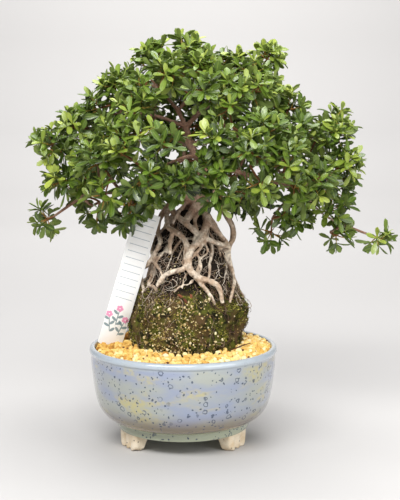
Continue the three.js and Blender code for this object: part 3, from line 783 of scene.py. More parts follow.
@dataclass(frozen=True)
class PlainGrain(Finish):
    """A matt finish of two colours in grains, for what lies under the gravel."""

    name: str
    light: Colour
    dark: Colour
    scale: float
    roughness: float = 0.9

    def dress(self, skin: Skin) -> None:
        """Lays out the nodes.

        Args:
            skin: The material under construction.
        """
        skin.set(Base_Color=skin.mix(skin.effect(Patches(self.scale, 0.5, 0.12)), self.dark, self.light))
        skin.set(Normal=skin.effect(Relief(self.scale)))


def stops(*places: tuple[float, int, int, int]) -> Stops:
    """The stops of a ramp, each written as its place and its display colour."""
    return tuple((place, tint(*colour)) for place, *colour in places)


class Finishes:
    """Every finish of the bonsai, each built once."""

    def __init__(self) -> None:
        """Builds the shared effects and the materials."""
        effects = {Patches: mottle_group(), Relief: relief_group(), Specks: specks_group()}
        gold = stops(
            (0.0, 76, 46, 18),
            (0.15, 188, 130, 58),
            (0.45, 224, 182, 96),
            (0.75, 242, 212, 134),
            (1.0, 252, 239, 192),
        )
        grit = stops((0.0, 112, 88, 52), (0.5, 186, 160, 98), (1.0, 240, 226, 184))
        # The sprigs' bright end also paints the highlight on sprigs that face up.
        sprigs = stops((0.0, 26, 24, 9), (0.45, 78, 76, 24), (0.8, 154, 150, 54), (1.0, 204, 194, 98))
        hair = stops((0.0, 84, 60, 44), (0.4, 142, 120, 100), (1.0, 214, 202, 184))
        shoot = stops((0.0, 124, 82, 50), (0.5, 168, 124, 62), (1.0, 174, 172, 76))
        chips = stops((0.0, 84, 48, 34), (1.0, 138, 84, 58))
        young_leaf = Leafage("young_azalea_leaf", mid=tint(101, 128, 38), young=tint(182, 195, 87))
        netting = PlainGrain("drain_netting", tint(44, 48, 52), tint(26, 28, 30), 260.0, 0.5)
        soil = PlainGrain("potting_soil", tint(104, 82, 56), tint(52, 40, 28), 240.0)
        self.glaze = Glaze().material(effects)
        self.clay = Clay().material(effects)
        self.gravel = Toned("golden_gravel", gold, tint(196, 140, 70)).material(effects)
        self.grit = Toned("pale_grit", grit, tint(120, 100, 60)).material(effects)
        self.sprigs = Toned("moss_sprigs", sprigs, tint(40, 40, 20)).material(effects)
        self.hair = Toned("fine_roots", hair, tint(120, 98, 76), roughness=0.7).material(effects)
        self.chips = Toned("bark_chips", chips, tint(84, 44, 30)).material(effects)
        self.moss = Moss().material(effects)
        self.bark = Bark().material(effects)
        self.limb_bark = Bark("limb_bark", change=Ease(0.0, 0.01)).material(effects)
        self.shoots = Toned("shoot_bark", shoot, tint(90, 58, 34), roughness=0.6).material(effects)
        self.leaf = Leafage("azalea_leaf").material(effects)
        self.young_leaf = young_leaf.material(effects)
        self.marker = MarkerPlastic().material(effects)
        self.netting = netting.material(effects)
        self.soil = soil.material(effects)


def hand_over(
    name: str,
    shape: BMesh | Mesh,
    materials: Iterable[Material],
    nodes: Iterable[str],
    sharp: float = 40.0,
) -> bpy.types.Object:
    """Makes a finished mesh a piece of the model.

    Args:
        name: The piece's name.
        shape: Its mesh, in metres in the frame.
        materials: Its materials, in the order of its faces' indices.
        nodes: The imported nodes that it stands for.
        sharp: The angle over which an edge stays sharp, in degrees.

    Returns:
        The piece.
    """
    mesh = mesh_of(shape) if isinstance(shape, BMesh) else shape
    mesh.name = name
    for material in materials:
        mesh.materials.append(material)
    mesh.shade_smooth()
    mesh.set_sharp_from_angle(angle=math.radians(sharp))
    piece = bpy.data.objects.new(name, mesh)
    bpy.context.scene.collection.objects.link(piece)
    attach(piece, BODY)
    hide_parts(*nodes)
    LOG.info("%s: %d faces", name, len(mesh.polygons))
    return piece


def mesh_of(bm: BMesh) -> Mesh:
    """Turns a bmesh into a mesh.

    Args:
        bm: The bmesh, which is freed.

    Returns:
        The mesh.
    """
    mesh = bpy.data.meshes.new("work")
    bm.to_mesh(mesh)
    bm.free()
    return mesh


def evaluated(data: bpy.types.ID, modifiers: Sequence[tuple[str, dict[str, object]]] = ()) -> BMesh:
    """The mesh that a curve, or a mesh under modifiers, comes out as.

    Args:
        data: The curve or mesh, which is used up.
        modifiers: Type and settings of each modifier.

    Returns:
        The new mesh.
    """
    holder = bpy.data.objects.new("holder", data)
    bpy.context.scene.collection.objects.link(holder)
    for kind, settings in modifiers:
        modifier = holder.modifiers.new(kind.title(), kind)
        for key, value in settings.items():
            setattr(modifier, key, value)
    graph = bpy.context.evaluated_depsgraph_get()
    mesh = bpy.data.meshes.new_from_object(holder.evaluated_get(graph))
    bm = bmesh.new()
    bm.from_mesh(mesh)
    bpy.data.objects.remove(holder)
    bpy.data.batch_remove([data, mesh])
    return bm


def melted(bm: BMesh, voxel: float, rounds: int) -> BMesh:
    """Runs the shells of a mesh together in one even skin and smooths it.

    Args:
        bm: The shells, which are used up.
        voxel: The grain of the skin.
        rounds: How many times it is smoothed.

    Returns:
        The skin.
    """
    remesh = ("REMESH", {"mode": "VOXEL", "voxel_size": voxel})
    return evaluated(mesh_of(bm), (remesh, ("SMOOTH", {"iterations": rounds, "factor": 0.5})))


def smooth_route(points: Sequence[Vector], steps: int) -> list[Vector]:
    """Points along a smooth curve through the given ones.

    Args:
        points: The points that the curve passes.
        steps: How many stretches lie between two of them.

    Returns:
        The points of the curve.
    """
    ends = [points[0], *points, points[-1]]
    tangents = [(after - before).normalized() for before, after in zip(ends, ends[2:])]
    curve: list[Vector] = []
    for (start, end), (leaving, arriving) in zip(pairwise(points), pairwise(tangents)):
        reach = (end - start).length / 3
        handles = (start + leaving * reach, end - arriving * reach)
        curve += interpolate_bezier(start, *handles, end, steps + 1)[:-1]
    return [*curve, points[-1].copy()]


def along(values: Sequence[float], count: int) -> list[float]:
    """Draws values out evenly.

    Args:
        values: Two or more values.
        count: How many there shall be.

    Returns:
        The drawn-out values.
    """
    drawn = []
    for index in range(count):
        spot = index / (count - 1) * (len(values) - 1)
        low = min(int(spot), len(values) - 2)
        drawn.append(lerp(values[low], values[low + 1], spot - low))
    return drawn


class Tubes:
    """Round limbs gathered in one curve, in millimetres."""

    def __init__(self, roundness: int) -> None:
        """Starts an empty bundle.

        Args:
            roundness: 0 for four sides, and two sides more for each step.
        """
        self.curve = bpy.data.curves.new("tubes", "CURVE")
        self.curve.dimensions = "3D"
        self.curve.bevel_depth = 1.0
        self.curve.bevel_resolution = roundness
        self.curve.use_fill_caps = True

    def add(self, points: Sequence[Vector], radii: Sequence[float]) -> None:
        """Adds a limb.

        Args:
            points: The points that it runs through.
            radii: Its radius at each.
        """
        spline = self.curve.splines.new("POLY")
        spline.points.add(len(points) - 1)
        for spot, point, radius in zip(spline.points, points, radii):
            spot.co = (*point, 1.0)
            spot.radius = radius

    def mesh(self) -> BMesh:
        """Closes the bundle.

        Returns:
            The limbs as one bmesh, with its faces outwards.
        """
        bm = evaluated(self.curve)
        ops.recalc_face_normals(bm, faces=bm.faces)
        return bm


def spun(profile: Sequence[Pair], sides: int) -> BMesh:
    """A profile of radii and heights turned round the Z axis.

    Args:
        profile: The profile's points, in order.
        sides: How many stretches go round.

    Returns:
        The turned shape, closed where the profile meets the axis or itself.
    """
    bm = bmesh.new()
    verts = [bm.verts.new((radius, 0.0, height)) for radius, height in profile]
    edges = [bm.edges.new(pair) for pair in pairwise(verts)]
    ops.spin(
        bm,
        geom=[*verts, *edges],
        cent=(0.0, 0.0, 0.0),
        axis=(0.0, 0.0, 1.0),
        angle=math.tau,
        steps=sides,
        use_merge=True,
    )
    ops.remove_doubles(bm, verts=bm.verts, dist=1e-4)
    ops.recalc_face_normals(bm, faces=bm.faces)
    return bm


class Crumbs:
    """Small pieces of one kind scattered into one mesh, each with its own tone."""

    def __init__(self, shape: Mesh, seed: int) -> None:
        """Starts with nothing scattered.

        Args:
            shape: What is repeated, one unit across.
            seed: The seed of the draws.
        """
        self.shape = shape
        self.draw = random.Random(seed)
        self.bm = bmesh.new()
        self.count = 0

    def add(self, matrix: Matrix, tone: float) -> None:
        """Adds one copy.

        Args:
            matrix: Places the copy.
            tone: Its tone, from 0 to 1.
        """
        copy = self.shape.copy()
        copy.transform(matrix)
        copy.attributes["tone"].data.foreach_set("value", [tone] * len(copy.polygons))
        self.join(copy)
        self.count += 1

    def join(self, mesh: Mesh) -> None:
        """Adds a mesh as it lies, and uses it up."""
        self.bm.from_mesh(mesh)
        bpy.data.meshes.remove(mesh)

    def tumble(self, place: Vector, size: float, flatness: float = 0.25) -> Matrix:
        """A matrix that turns a copy any way and makes it a little uneven.

        Args:
            place: Where its middle goes.
            size: How large it is across.
            flatness: How far its three measures may differ.

        Returns:
            The matrix.
        """
        turn = Matrix.Rotation(self.draw.uniform(0, math.tau), 4, "Z")
        turn @= Matrix.Rotation(self.draw.uniform(0, math.tau), 4, "X")
        stretch = [size * (1 + self.draw.uniform(-flatness, flatness)) for _ in range(3)]
        return Matrix.Translation(place) @ turn @ Matrix.Diagonal((*stretch, 1.0))


def toned(bm: BMesh) -> Mesh:
    """Turns a bmesh into a shape that carries a tone on each face.

    Args:
        bm: The bmesh, which is freed.

    Returns:
        The shape.
    """
    mesh = mesh_of(bm)
    mesh.attributes.new("tone", "FLOAT", "FACE")
    return mesh


def ease_edges(bm: BMesh, offset: float, segments: int) -> None:
    """Takes off every edge of a mesh."""
    sizes = {"offset": offset, "segments": segments, "profile": 0.5, "clamp_overlap": True}
    ops.bevel(bm, geom=bm.edges[:], affect="EDGES", material=-1, **sizes)


def granule(bevel: float, seed: int, jitter: float = 0.16) -> Mesh:
    """A crumb of stone: a cube with its edges taken off and its corners pushed about.

    Args:
        bevel: How much of an edge is taken off, from 0 to 0.5.
        seed: The seed of its unevenness.
        jitter: How far a corner may be pushed.

    Returns:
        The shape, one unit across.
    """
    draw = random.Random(seed)
    bm = bmesh.new()
    ops.create_cube(bm, size=1.0)
    for vert in bm.verts:
        vert.co += Vector([draw.uniform(-jitter, jitter) for _ in range(3)])
    ease_edges(bm, bevel, 1)
    return toned(bm)


@dataclass
class Part:
    """A part of the bonsai, with its place and the finishes it is dressed in."""

    site: Site
    finishes: Finishes


@dataclass
class Pot(Part):
    """Round glazed pot: a turned bowl with a rolled lip and a foot ring, on three cloud feet."""

    profile: Profile = (
        (9.0, 19.5), (30.0, 18.0), (60.0, 16.5), (65.6, 16.4), (66.9, 17.4), (67.3, 20.5), (67.2, 23.2),
        (68.6, 24.6), (71.5, 25.6), (77.5, 29.0), (83.0, 34.5), (87.0, 42.0), (90.2, 56.0), (92.3, 72.0),
        (93.4, 84.0), (93.2, 90.6), (93.5, 92.8), (94.8, 94.4), (95.0, 96.6), (93.9, 98.7), (91.6, 99.6),
        (89.6, 98.6), (88.6, 92.0), (85.6, 55.0), (79.0, 38.0), (64.0, 27.5), (40.0, 26.4), (9.0, 26.0),
    )
    sides: int = 112
    profile_steps: int = 4
    foot_angles: tuple[float, ...] = (-30.0, 90.0, 210.0)
    foot_inset: float = 47.5
    foot_half_width: float = 18.6
    foot_depth: float = 15.6
    foot_height: float = 20.0
    foot_rows: tuple[float, ...] = (0.0, 1.2, 3.0, 5.5, 9.0, 13.0, 17.0, 20.0)
    foot_taper: float = 0.14
    foot_slope: float = 0.42
    foot_tuck: float = 2.8
    foot_voxel: float = 0.8
    foot_smoothing: int = 4
    sole_rounding: float = 0.16
    sole_reach: float = 4.0
    toes: int = 3
    toe_points: int = 8
    toe_bulge: float = 0.75
    toe_fade: float = 0.75
    toe_rise: float = 6.2
    toe_lift: float = 1.8
    toe_lift_reach: float = 9.0

    def build(self) -> None:
        """Builds the bowl and the feet."""
        hand_over("pot_bowl", self.bowl(), [self.finishes.glaze], ["pot"], 60.0)
        hand_over("pot_feet", self.feet(), [self.finishes.clay], ["pot"], 60.0)

    def bowl(self) -> BMesh:
        """Turns the bowl, with its profile drawn smooth and closed through the drain hole.

        Returns:
            The bowl.
        """
        points = [Vector((radius, 0.0, height)) for radius, height in self.profile]
        line = smooth_route(points, self.profile_steps)
        return self.site.settle(spun([(p.x, p.z) for p in [*line, line[0]]], self.sides))

    def feet(self) -> BMesh:
        """Builds the feet: each a tapered block with round toes, run together and set on the ground.

        Returns:
            The feet.
        """
        blocks = bmesh.new()
        for angle in self.foot_angles:
            self.add_foot(blocks, math.radians(angle - 90))
        bm = melted(blocks, self.foot_voxel, self.foot_smoothing)
        lowest = min(vert.co.z for vert in bm.verts)
        ops.translate(bm, vec=(0, 0, -lowest), verts=bm.verts)
        return self.site.settle(bm)

    def add_foot(self, bm: BMesh, turn: float) -> None:
        """Adds one foot to the mesh, raised row by row.

        Args:
            bm: The mesh.
            turn: The foot's place round the pot, as a turn from +Y.
        """
        half = self.foot_half_width
        count = self.toes * self.toe_points
        front = [(lerp(half, -half, k / count), self.foot_depth) for k in range(count + 1)]
        ring = [bm.verts.new((x, y, 0.0)) for x, y in [(-half, 0.0), (half, 0.0), *front]]
        face = bm.faces.new(ring)
        made = list(ring)
        for low, high in pairwise(self.foot_rows):
            grown = ops.extrude_face_region(bm, geom=[face])["geom"]
            face = next(item for item in grown if isinstance(item, BMFace))
            ops.translate(bm, vec=(0, 0, high - low), verts=face.verts)
            made += face.verts
        for vert in made:
            vert.co = self.foot_point(vert.co)
        moved = Matrix.Rotation(turn, 4, "Z") @ Matrix.Translation((0.0, self.foot_inset, 0.0))
        ops.transform(bm, matrix=moved, verts=made)

    def foot_point(self, spot: Vector) -> Vector:
        """Shapes a foot: round toes in front, its back sloping in below, its sole rounded.

        Args:
            spot: A point of the foot's plain block.

        Returns:
            Where it goes.
        """
        height = spot.z / self.foot_height
        below = 1 - height
        share = spot.x / (2 * self.foot_half_width) + 0.5
        toes = abs(math.sin(share * self.toes * math.pi)) ** self.toe_bulge
        rise = self.toe_rise * (1 - self.toe_fade * height) * toes - self.foot_tuck * below
        is_front = spot.y > self.foot_depth / 2
        depth = spot.y + (rise if is_front else 0.0)
        rounding = self.sole_rounding * max(0.0, 1 - spot.z / self.sole_reach) ** 2
        narrow = 1 - self.foot_taper * below - rounding
        back = 1 - self.foot_slope * below - rounding
        notch = (1 - toes) * self.toe_lift if is_front else 0.0
        lift = notch * max(0.0, 1 - spot.z / self.toe_lift_reach)
        return Vector((spot.x * narrow, self.foot_depth - (self.foot_depth - depth) * back, spot.z + lift))


@dataclass
class Mound:
    """The root ball's surface: a turned lump whose axis drifts towards the trunk, roughened."""

    profile: Profile = (
        (56.0, 98.0), (56.0, 110.0), (56.5, 124.0), (56.0, 139.0), (49.0, 152.0), (41.5, 166.0),
        (37.0, 185.0), (31.0, 204.0), (21.0, 222.0), (11.0, 234.0), (0.0, 238.0),
    )
    low_axis: float = 3.5
    high_axis: float = 8.0
    plain_below: float = 104.0
    roughness: float = 2.6
    rough_within: float = 12.0

    def radius(self, height: float) -> float:
        """The lump's plain radius.

        Args:
            height: The height at which it is asked for.

        Returns:
            The radius, 0 over the lump's top.
        """
        for (r0, z0), (r1, z1) in pairwise(self.profile):
            if height <= z1:
                return lerp(r0, r1, max(0.0, (height - z0) / (z1 - z0)))
        return 0.0

    def point(self, angle: float, height: float, lift: float = 0.0) -> Vector:
        """A point on the surface.

        Args:
            angle: The angle round the lump's axis, in radians.
            height: The height, in millimetres.
            lift: How far over the surface the point lies.

        Returns:
            The point, in millimetres from the pot's axis.
        """
        radius = self.radius(height)
        x = radius * math.cos(angle)
        y = radius * math.sin(angle)
        above = max(0.0, height - self.plain_below)
        rough = self.roughness * min(1.0, above / self.rough_within)
        swell = rough * (math.sin(x / 7 + height / 11) + math.sin(y / 6 - height / 8) * math.cos(x / 9))
        reach = radius + swell * min(1.0, radius / 6) + lift
        drift = lerp(self.low_axis, self.high_axis, above / (self.profile[-1][1] - self.plain_below))
        return Vector((reach * math.cos(angle) + drift, reach * math.sin(angle), height))

    def outward(self, angle: float, height: float) -> Vector:
        """The direction away from the surface.

        Args:
            angle: The angle round the lump's axis, in radians.
            height: The height.

        Returns:
            The direction, one unit long.
        """
        up = self.point(angle, height + 2) - self.point(angle, height - 2)
        side = self.point(angle + 0.03, height) - self.point(angle - 0.03, height)
        return side.cross(up).normalized()


@dataclass
class RootBall(Part):
    """The mossy lump: soil, grit, moss sprigs, fine roots and a few chips of bark."""

    mound: Mound
    bottom: float = 70.3
    buried_radius: float = 56.0
    sides: int = 208
    row: float = 1.5
    moss_top: float = 154.0
    rows_from: float = 96.0
    lump_scale: float = 7.0
    lump_depth: float = 2.8
    crumb_scale: float = 2.6
    crumb_depth: float = 1.5
    core_scale: float = 6.0
    core_depth: float = 3.4
    core_fade: float = 14.0
    pit_depth: float = 9.0
    pit_radius: float = 5.0
    grit_count: int = 700
    grit_heights: Pair = (101.0, 52.0)
    grit_front: Pair = (-1.76, 0.42)
    grit_front_share: float = 0.72
    high_grit_share: float = 0.1
    high_grit: Pair = (150.0, 200.0)
    grit_sizes: Pair = (0.7, 1.5)
    big_grit: Pair = (0.06, 0.9)
    sprig_count: int = 6000
    sprig_heights: Pair = (100.0, 66.0)
    sprig_lengths: Pair = (1.6, 3.4)
    sprig_width: float = 1.5
    sprig_lean: float = 0.55
    patch_scale: float = 15.0
    patch_level: float = -0.16
    hair_count: int = 560
    hair_tops: Pair = (148.0, 78.0)
    hair_radii: Pair = (0.16, 0.36)
    hair_step: float = 2.1
    hair_lifts: Pair = (0.2, 3.6)
    brown_hair_count: int = 240
    brown_hair_tops: Pair = (106.0, 172.0)
    rootlet_share: float = 0.05
    rootlet_radii: Pair = (0.4, 0.75)
    lowest_hair: float = 101.0
    hollow: Point = (4.6, -43.0, 163.0)
    hollow_reach: float = 6.5
    chips: tuple[Point, ...] = ((-2.0, 156.5, 0.5), (8.0, 155.5, 1.5), (3.0, 152.0, 1.0))
    chip_size: Point = (5.4, 1.3, 2.4)

    def build(self) -> None:
        """Builds the lump and all that lies on it."""
        for name, bm, finish, sharp in (
            ("soil", self.lump(), self.finishes.moss, 80.0),
            ("grit", self.grit(), self.finishes.grit, 40.0),
            ("moss", self.sprigs(), self.finishes.sprigs, 40.0),
            ("hair_roots", self.hairs(), self.finishes.hair, 80.0),
            ("bark_chips", self.bark_chips(), self.finishes.chips, 40.0),
        ):
            hand_over(f"root_ball_{name}", bm, [finish], ["root_ball"], sharp)

    def lump(self) -> BMesh:
        """Turns the lump in fine rows and pushes it in and out by noise.

        Returns:
            The lump.
        """
        top = self.mound.profile[-1][1]
        count = round((top - self.rows_from) / self.row)
        rows = [lerp(self.rows_from, top, k / count) for k in range(count + 1)]
        start = [(0.0, self.bottom), (self.buried_radius, self.bottom)]
        bm = spun([*start, *((self.mound.radius(z), z) for z in rows)], self.sides)
        for vert in bm.verts:
            if vert.co.z < self.rows_from - 1:
                vert.co.x += self.mound.low_axis
                continue
            angle = math.atan2(vert.co.y, vert.co.x)
            vert.co = self.mound.point(angle, vert.co.z, self.relief(angle, vert.co.z))
        return self.site.settle(bm)

    def relief(self, angle: float, height: float) -> float:
        """How far noise pushes the surface out, none of it below the gravel.

        Args:
            angle: The angle round the lump's axis, in radians.
            height: The height.

        Returns:
            The distance, negative where it is pushed in.
        """
        spot = self.mound.point(angle, height)
        if spot.z < 100:
            return -0.5
        lumps = noise.noise(spot / self.lump_scale) * self.lump_depth
        crumbs = noise.turbulence(spot / self.crumb_scale, 2, False) * self.crumb_depth
        core = clamp((height - self.moss_top) / self.core_fade)
        caves = -abs(noise.noise(spot / self.core_scale + Vector((9, 4, 2)))) * self.core_depth * core
        away = (spot - Vector(self.hollow)).length
        return lumps + crumbs + caves - self.pit_depth * math.exp(-((away / self.pit_radius) ** 2))

    def grit(self) -> BMesh:
        """Sets pale grains in the lump, thickest low down in front, with a few higher up.

        Returns:
            The grains.
        """
        grains = Crumbs(granule(0.2, 3), 21)
        draw = grains.draw
        low, span = self.grit_heights
        big_share, extra = self.big_grit
        for _ in range(self.grit_count):
            is_front = draw.random() < self.grit_front_share
            angle = draw.gauss(*self.grit_front) if is_front else draw.uniform(0, math.tau)
            height = low + span * draw.random() ** 1.2
            if draw.random() < self.high_grit_share:
                height = draw.uniform(*self.high_grit)
            size = draw.uniform(*self.grit_sizes) + (extra if draw.random() < big_share else 0.0)
            place = self.mound.point(angle, height, self.relief(angle, height) + 0.25 * size)
            grains.add(grains.tumble(place, size), clamp(draw.gauss(0.55, 0.28)))
        return self.site.settle(grains.bm)

    def sprigs(self) -> BMesh:
        """Stands short moss sprigs on the lump, in patches.

        Returns:
            The sprigs.
        """
        cone = bmesh.new()
        ops.create_cone(cone, segments=3, radius1=0.3, radius2=0.05, depth=1.0, cap_ends=True)
        ops.translate(cone, vec=(0, 0, 0.35), verts=cone.verts)
        sprigs = Crumbs(toned(cone), 22)
        draw = sprigs.draw
        low, span = self.sprig_heights
        while sprigs.count < self.sprig_count:
            angle = draw.uniform(0, math.tau)
            height = low + span * draw.random() ** 1.05
            patch = noise.noise(self.mound.point(angle, height) / self.patch_scale + Vector((3, 8, 1)))
            if patch < self.patch_level or (height > self.moss_top and draw.random() < 0.5):
                continue
            outward = self.mound.outward(angle, height)
            lean = Vector([draw.gauss(0, self.sprig_lean) for _ in range(3)]) + UP * 0.3
            place = self.mound.point(angle, height, self.relief(angle, height) - 0.3)
            turn = (outward + lean).normalized().to_track_quat("Z", "Y").to_matrix().to_4x4()
            size = (self.sprig_width, self.sprig_width, draw.uniform(*self.sprig_lengths), 1.0)
            # Sprigs that face up get a lighter tone: painted highlight; the patch and the draw vary it at
            # random.
            tone = clamp(0.4 + 0.3 * outward.z + patch * 0.8 + draw.gauss(0, 0.2))
            sprigs.add(Matrix.Translation(place) @ turn @ Matrix.Diagonal(size), tone)
        return self.site.settle(sprigs.bm)

    def hairs(self) -> BMesh:
        """Lays fine roots: a pale net over the upper lump and brown threads over the moss.

        Returns:
            The roots, each with its tone.
        """
        draw = random.Random(23)
        tubes = Tubes(0)
        tones: list[float] = []
        low, span = self.hair_tops
        for index in range(self.hair_count + self.brown_hair_count):
            is_pale = index < self.hair_count
            top = low + span * draw.random() ** 0.9 if is_pale else draw.uniform(*self.brown_hair_tops)
            route = self.hair_route(draw, top, is_pale)
            if min((point - Vector(self.hollow)).length for point in route) < self.hollow_reach:
                continue
            thick = draw.uniform(*self.hair_radii)
            if is_pale and draw.random() < self.rootlet_share:
                thick = draw.uniform(*self.rootlet_radii)
            tubes.add(route, along([thick, thick * 0.85, thick * 0.35], len(route)))
            tone = draw.uniform(0.2, 1.0) if is_pale else draw.uniform(0.0, 0.5)
            tones += [tone] * len(route)
        bm = tubes.mesh()
        layer = bm.verts.layers.float.new("tone")
        for vert, tone in zip(bm.verts, (t for t in tones for _ in range(4))):
            vert[layer] = tone
        return self.site.settle(bm)

    def hair_route(self, draw: random.Random, top: float, is_pale: bool) -> list[Vector]:
        """A wandering way down over the lump.

        Args:
            draw: Where the chances come from.
            top: The height at which it starts.
            is_pale: Whether it belongs to the pale net, which wanders more.

        Returns:
            The points of the way.
        """
        angle = draw.uniform(0, math.tau)
        height = top
        heading = draw.gauss(0, 1.0)
        lift = draw.uniform(0.2, 1.8)
        lowest, highest = self.hair_lifts
        route = []
        for _ in range(draw.randint(6, 18)):
            route.append(self.mound.point(angle, height, lift + 0.4 * self.relief(angle, height)))
            heading = heading * 0.88 + draw.gauss(0, 0.75 if is_pale else 0.45)
            height = max(self.lowest_hair, height - self.hair_step * math.cos(heading))
            angle += self.hair_step * math.sin(heading) / max(8.0, self.mound.radius(height))
            lift = min(highest, max(lowest, lift + draw.gauss(0, 0.7)))
        return route

    def bark_chips(self) -> BMesh:
        """Lays red-brown chips of bark in the small hollow.

        Returns:
            The chips.
        """
        chips = Crumbs(granule(0.12, 5), 24)
        for x, height, turn in self.chips:
            angle = -math.pi / 2 + (x - 5.0) / 45.0
            place = Matrix.Translation(self.mound.point(angle, height, 0.4))
            lie = Matrix.Rotation(turn, 4, "Y") @ Matrix.Diagonal((*self.chip_size, 1.0))
            chips.add(place @ lie, chips.draw.random())
        return self.site.settle(chips.bm)


@dataclass
class GravelBed(Part):
    """Golden granules heaped between the pot's lip and the root ball, on a bed in the darkest gold that
    paints shade in the gaps.
    """

    inner: float = 57.4
    outer: float = 87.7
    floor: float = 90.3
    lip_height: float = 96.4
    heap: float = 6.0
    front_dip: float = 3.4
    axis_x: float = 3.5
    bed_drop: float = 2.6
    rings: int = 8
    spacing: float = 4.3
    bed_steps: int = 12
    bed_sides: int = 144
    loose_count: int = 300
    sizes: Pair = (4.2, 6.6)
    packing: float = 0.82
    overhang: float = 0.8
    tone: Pair = (0.68, 0.2)
    left_darkening: float = 0.3
    dark_count: int = 26
    dark_sizes: Pair = (1.2, 2.4)
    twig: tuple[Point, ...] = (
        (47.0, -46.0, 103.2), (54.0, -39.0, 104.0), (60.0, -30.0, 104.6), (67.0, -23.0, 104.8)
    )
    twig_radii: Point = (0.5, 0.7, 0.45)

    def surface(self, inwards: float, angle: float) -> Vector:
        """A point on the heap.

        Args:
            inwards: 0 at the lip to 1 at the root ball.
            angle: The angle round the pot, in radians.

        Returns:
            The point, in millimetres.
        """
        radius = lerp(self.outer, self.inner, inwards)
        front = max(0.0, -math.sin(angle))
        height = self.lip_height + inwards * (self.heap - self.front_dip * front)
        return Vector((radius * math.cos(angle) + self.axis_x * inwards, radius * math.sin(angle), height))

    def build(self) -> None:
        """Builds the bed, its granules and the litter on them."""
        for name, bm, finish, sharp in (
            ("painted_shade_bed", self.painted_shade_bed(), self.finishes.gravel, 40.0),
            ("granules", self.granules(), self.finishes.gravel, 30.0),
            ("litter", self.litter(), self.finishes.chips, 40.0),
        ):
            hand_over(f"gravel_{name}", bm, [finish], ["top_gravel"], sharp)

    def painted_shade_bed(self) -> BMesh:
        """Turns the bed under the granules, a ring that follows the heap, left at the darkest gold as painted
        shade in the gaps between granules.

        Its upper rows are first laid at a height of 1000 and more, which tells them from the floor.

        Returns:
            The bed.
        """
        steps = self.bed_steps
        section = [(self.inner, self.floor), (self.outer, self.floor)]
        section += [(lerp(self.outer, self.inner, k / steps), 1000.0 + k / steps) for k in range(steps + 1)]
        bm = spun([*section, section[0]], self.bed_sides)
        for vert in bm.verts:
            angle = math.atan2(vert.co.y, vert.co.x)
            if vert.co.z > 999.0:
                vert.co = self.surface(vert.co.z - 1000.0, angle)
                vert.co.z += noise.noise(vert.co / 2.5) * 0.8 - self.bed_drop
            else:
                inwards = (self.outer - math.hypot(vert.co.x, vert.co.y)) / (self.outer - self.inner)
                vert.co.x += self.axis_x * inwards
        # Tone 0 everywhere: the darkest gold, as painted shade showing between the granules.
        bm.faces.layers.float.new("tone")
        ops.recalc_face_normals(bm, faces=bm.faces)
        return self.site.settle(bm)

    def granules(self) -> BMesh:
        """Lays the granules in jittered rings, with more lying loose on top.

        Returns:
            The granules.
        """
        grains = Crumbs(granule(0.24, 7), 31)
        draw = grains.draw
        for ring in range(self.rings):
            share = (ring + 0.45) / self.rings
            count = round(math.tau * lerp(self.outer, self.inner, share) / self.spacing)
            for index in range(count):
                inwards = share + draw.uniform(-0.4, 0.4) / self.rings
                angle = (index + draw.uniform(-0.35, 0.35)) * math.tau / count
                self.drop(grains, inwards, angle, draw.uniform(-1.4, 0.5))
        for _ in range(self.loose_count):
            self.drop(grains, draw.uniform(0.04, 1.02), draw.uniform(0, math.tau), draw.uniform(0.8, 2.2))
        return self.site.settle(grains.bm)

    def drop(self, grains: Crumbs, inwards: float, angle: float, lift: float) -> None:
        """Lays one granule on the heap, oranger towards the left rear.

        Args:
            grains: Takes the granule.
            inwards: 0 at the lip to 1 at the root ball.
            angle: The angle round the pot, in radians.
            lift: How far over the heap it lies.
        """
        draw = grains.draw
        place = self.surface(inwards, angle)
        size = draw.uniform(*self.sizes)
        reach = math.hypot(place.x, place.y)
        limit = self.outer + self.overhang
        if reach + size * 0.45 > limit:
            place.xy = place.xy * ((limit - size * 0.45) / reach)
        place.z += lift
        leftness = max(0.0, -math.cos(angle + 0.5))
        middle, spread = self.tone
        tone = max(0.12, clamp(draw.gauss(middle - self.left_darkening * leftness, spread)))
        grains.add(grains.tumble(place, size * self.packing, 0.2), tone)

    def litter(self) -> BMesh:
        """Lays dark crumbs and a dry twig on the gravel.

        Returns:
            The litter.
        """
        crumbs = Crumbs(granule(0.2, 9), 32)
        draw = crumbs.draw
        for _ in range(self.dark_count):
            place = self.surface(draw.uniform(0.03, 0.9), draw.uniform(0, math.tau))
            place.z += 2.2
            crumbs.add(crumbs.tumble(place, draw.uniform(*self.dark_sizes)), draw.random() * 0.5)
        twig = Tubes(1)
        route = smooth_route([Vector(point) for point in self.twig], 4)
        twig.add(route, along(self.twig_radii, len(route)))
        crumbs.join(toned(twig.mesh()))
        return self.site.settle(crumbs.bm)


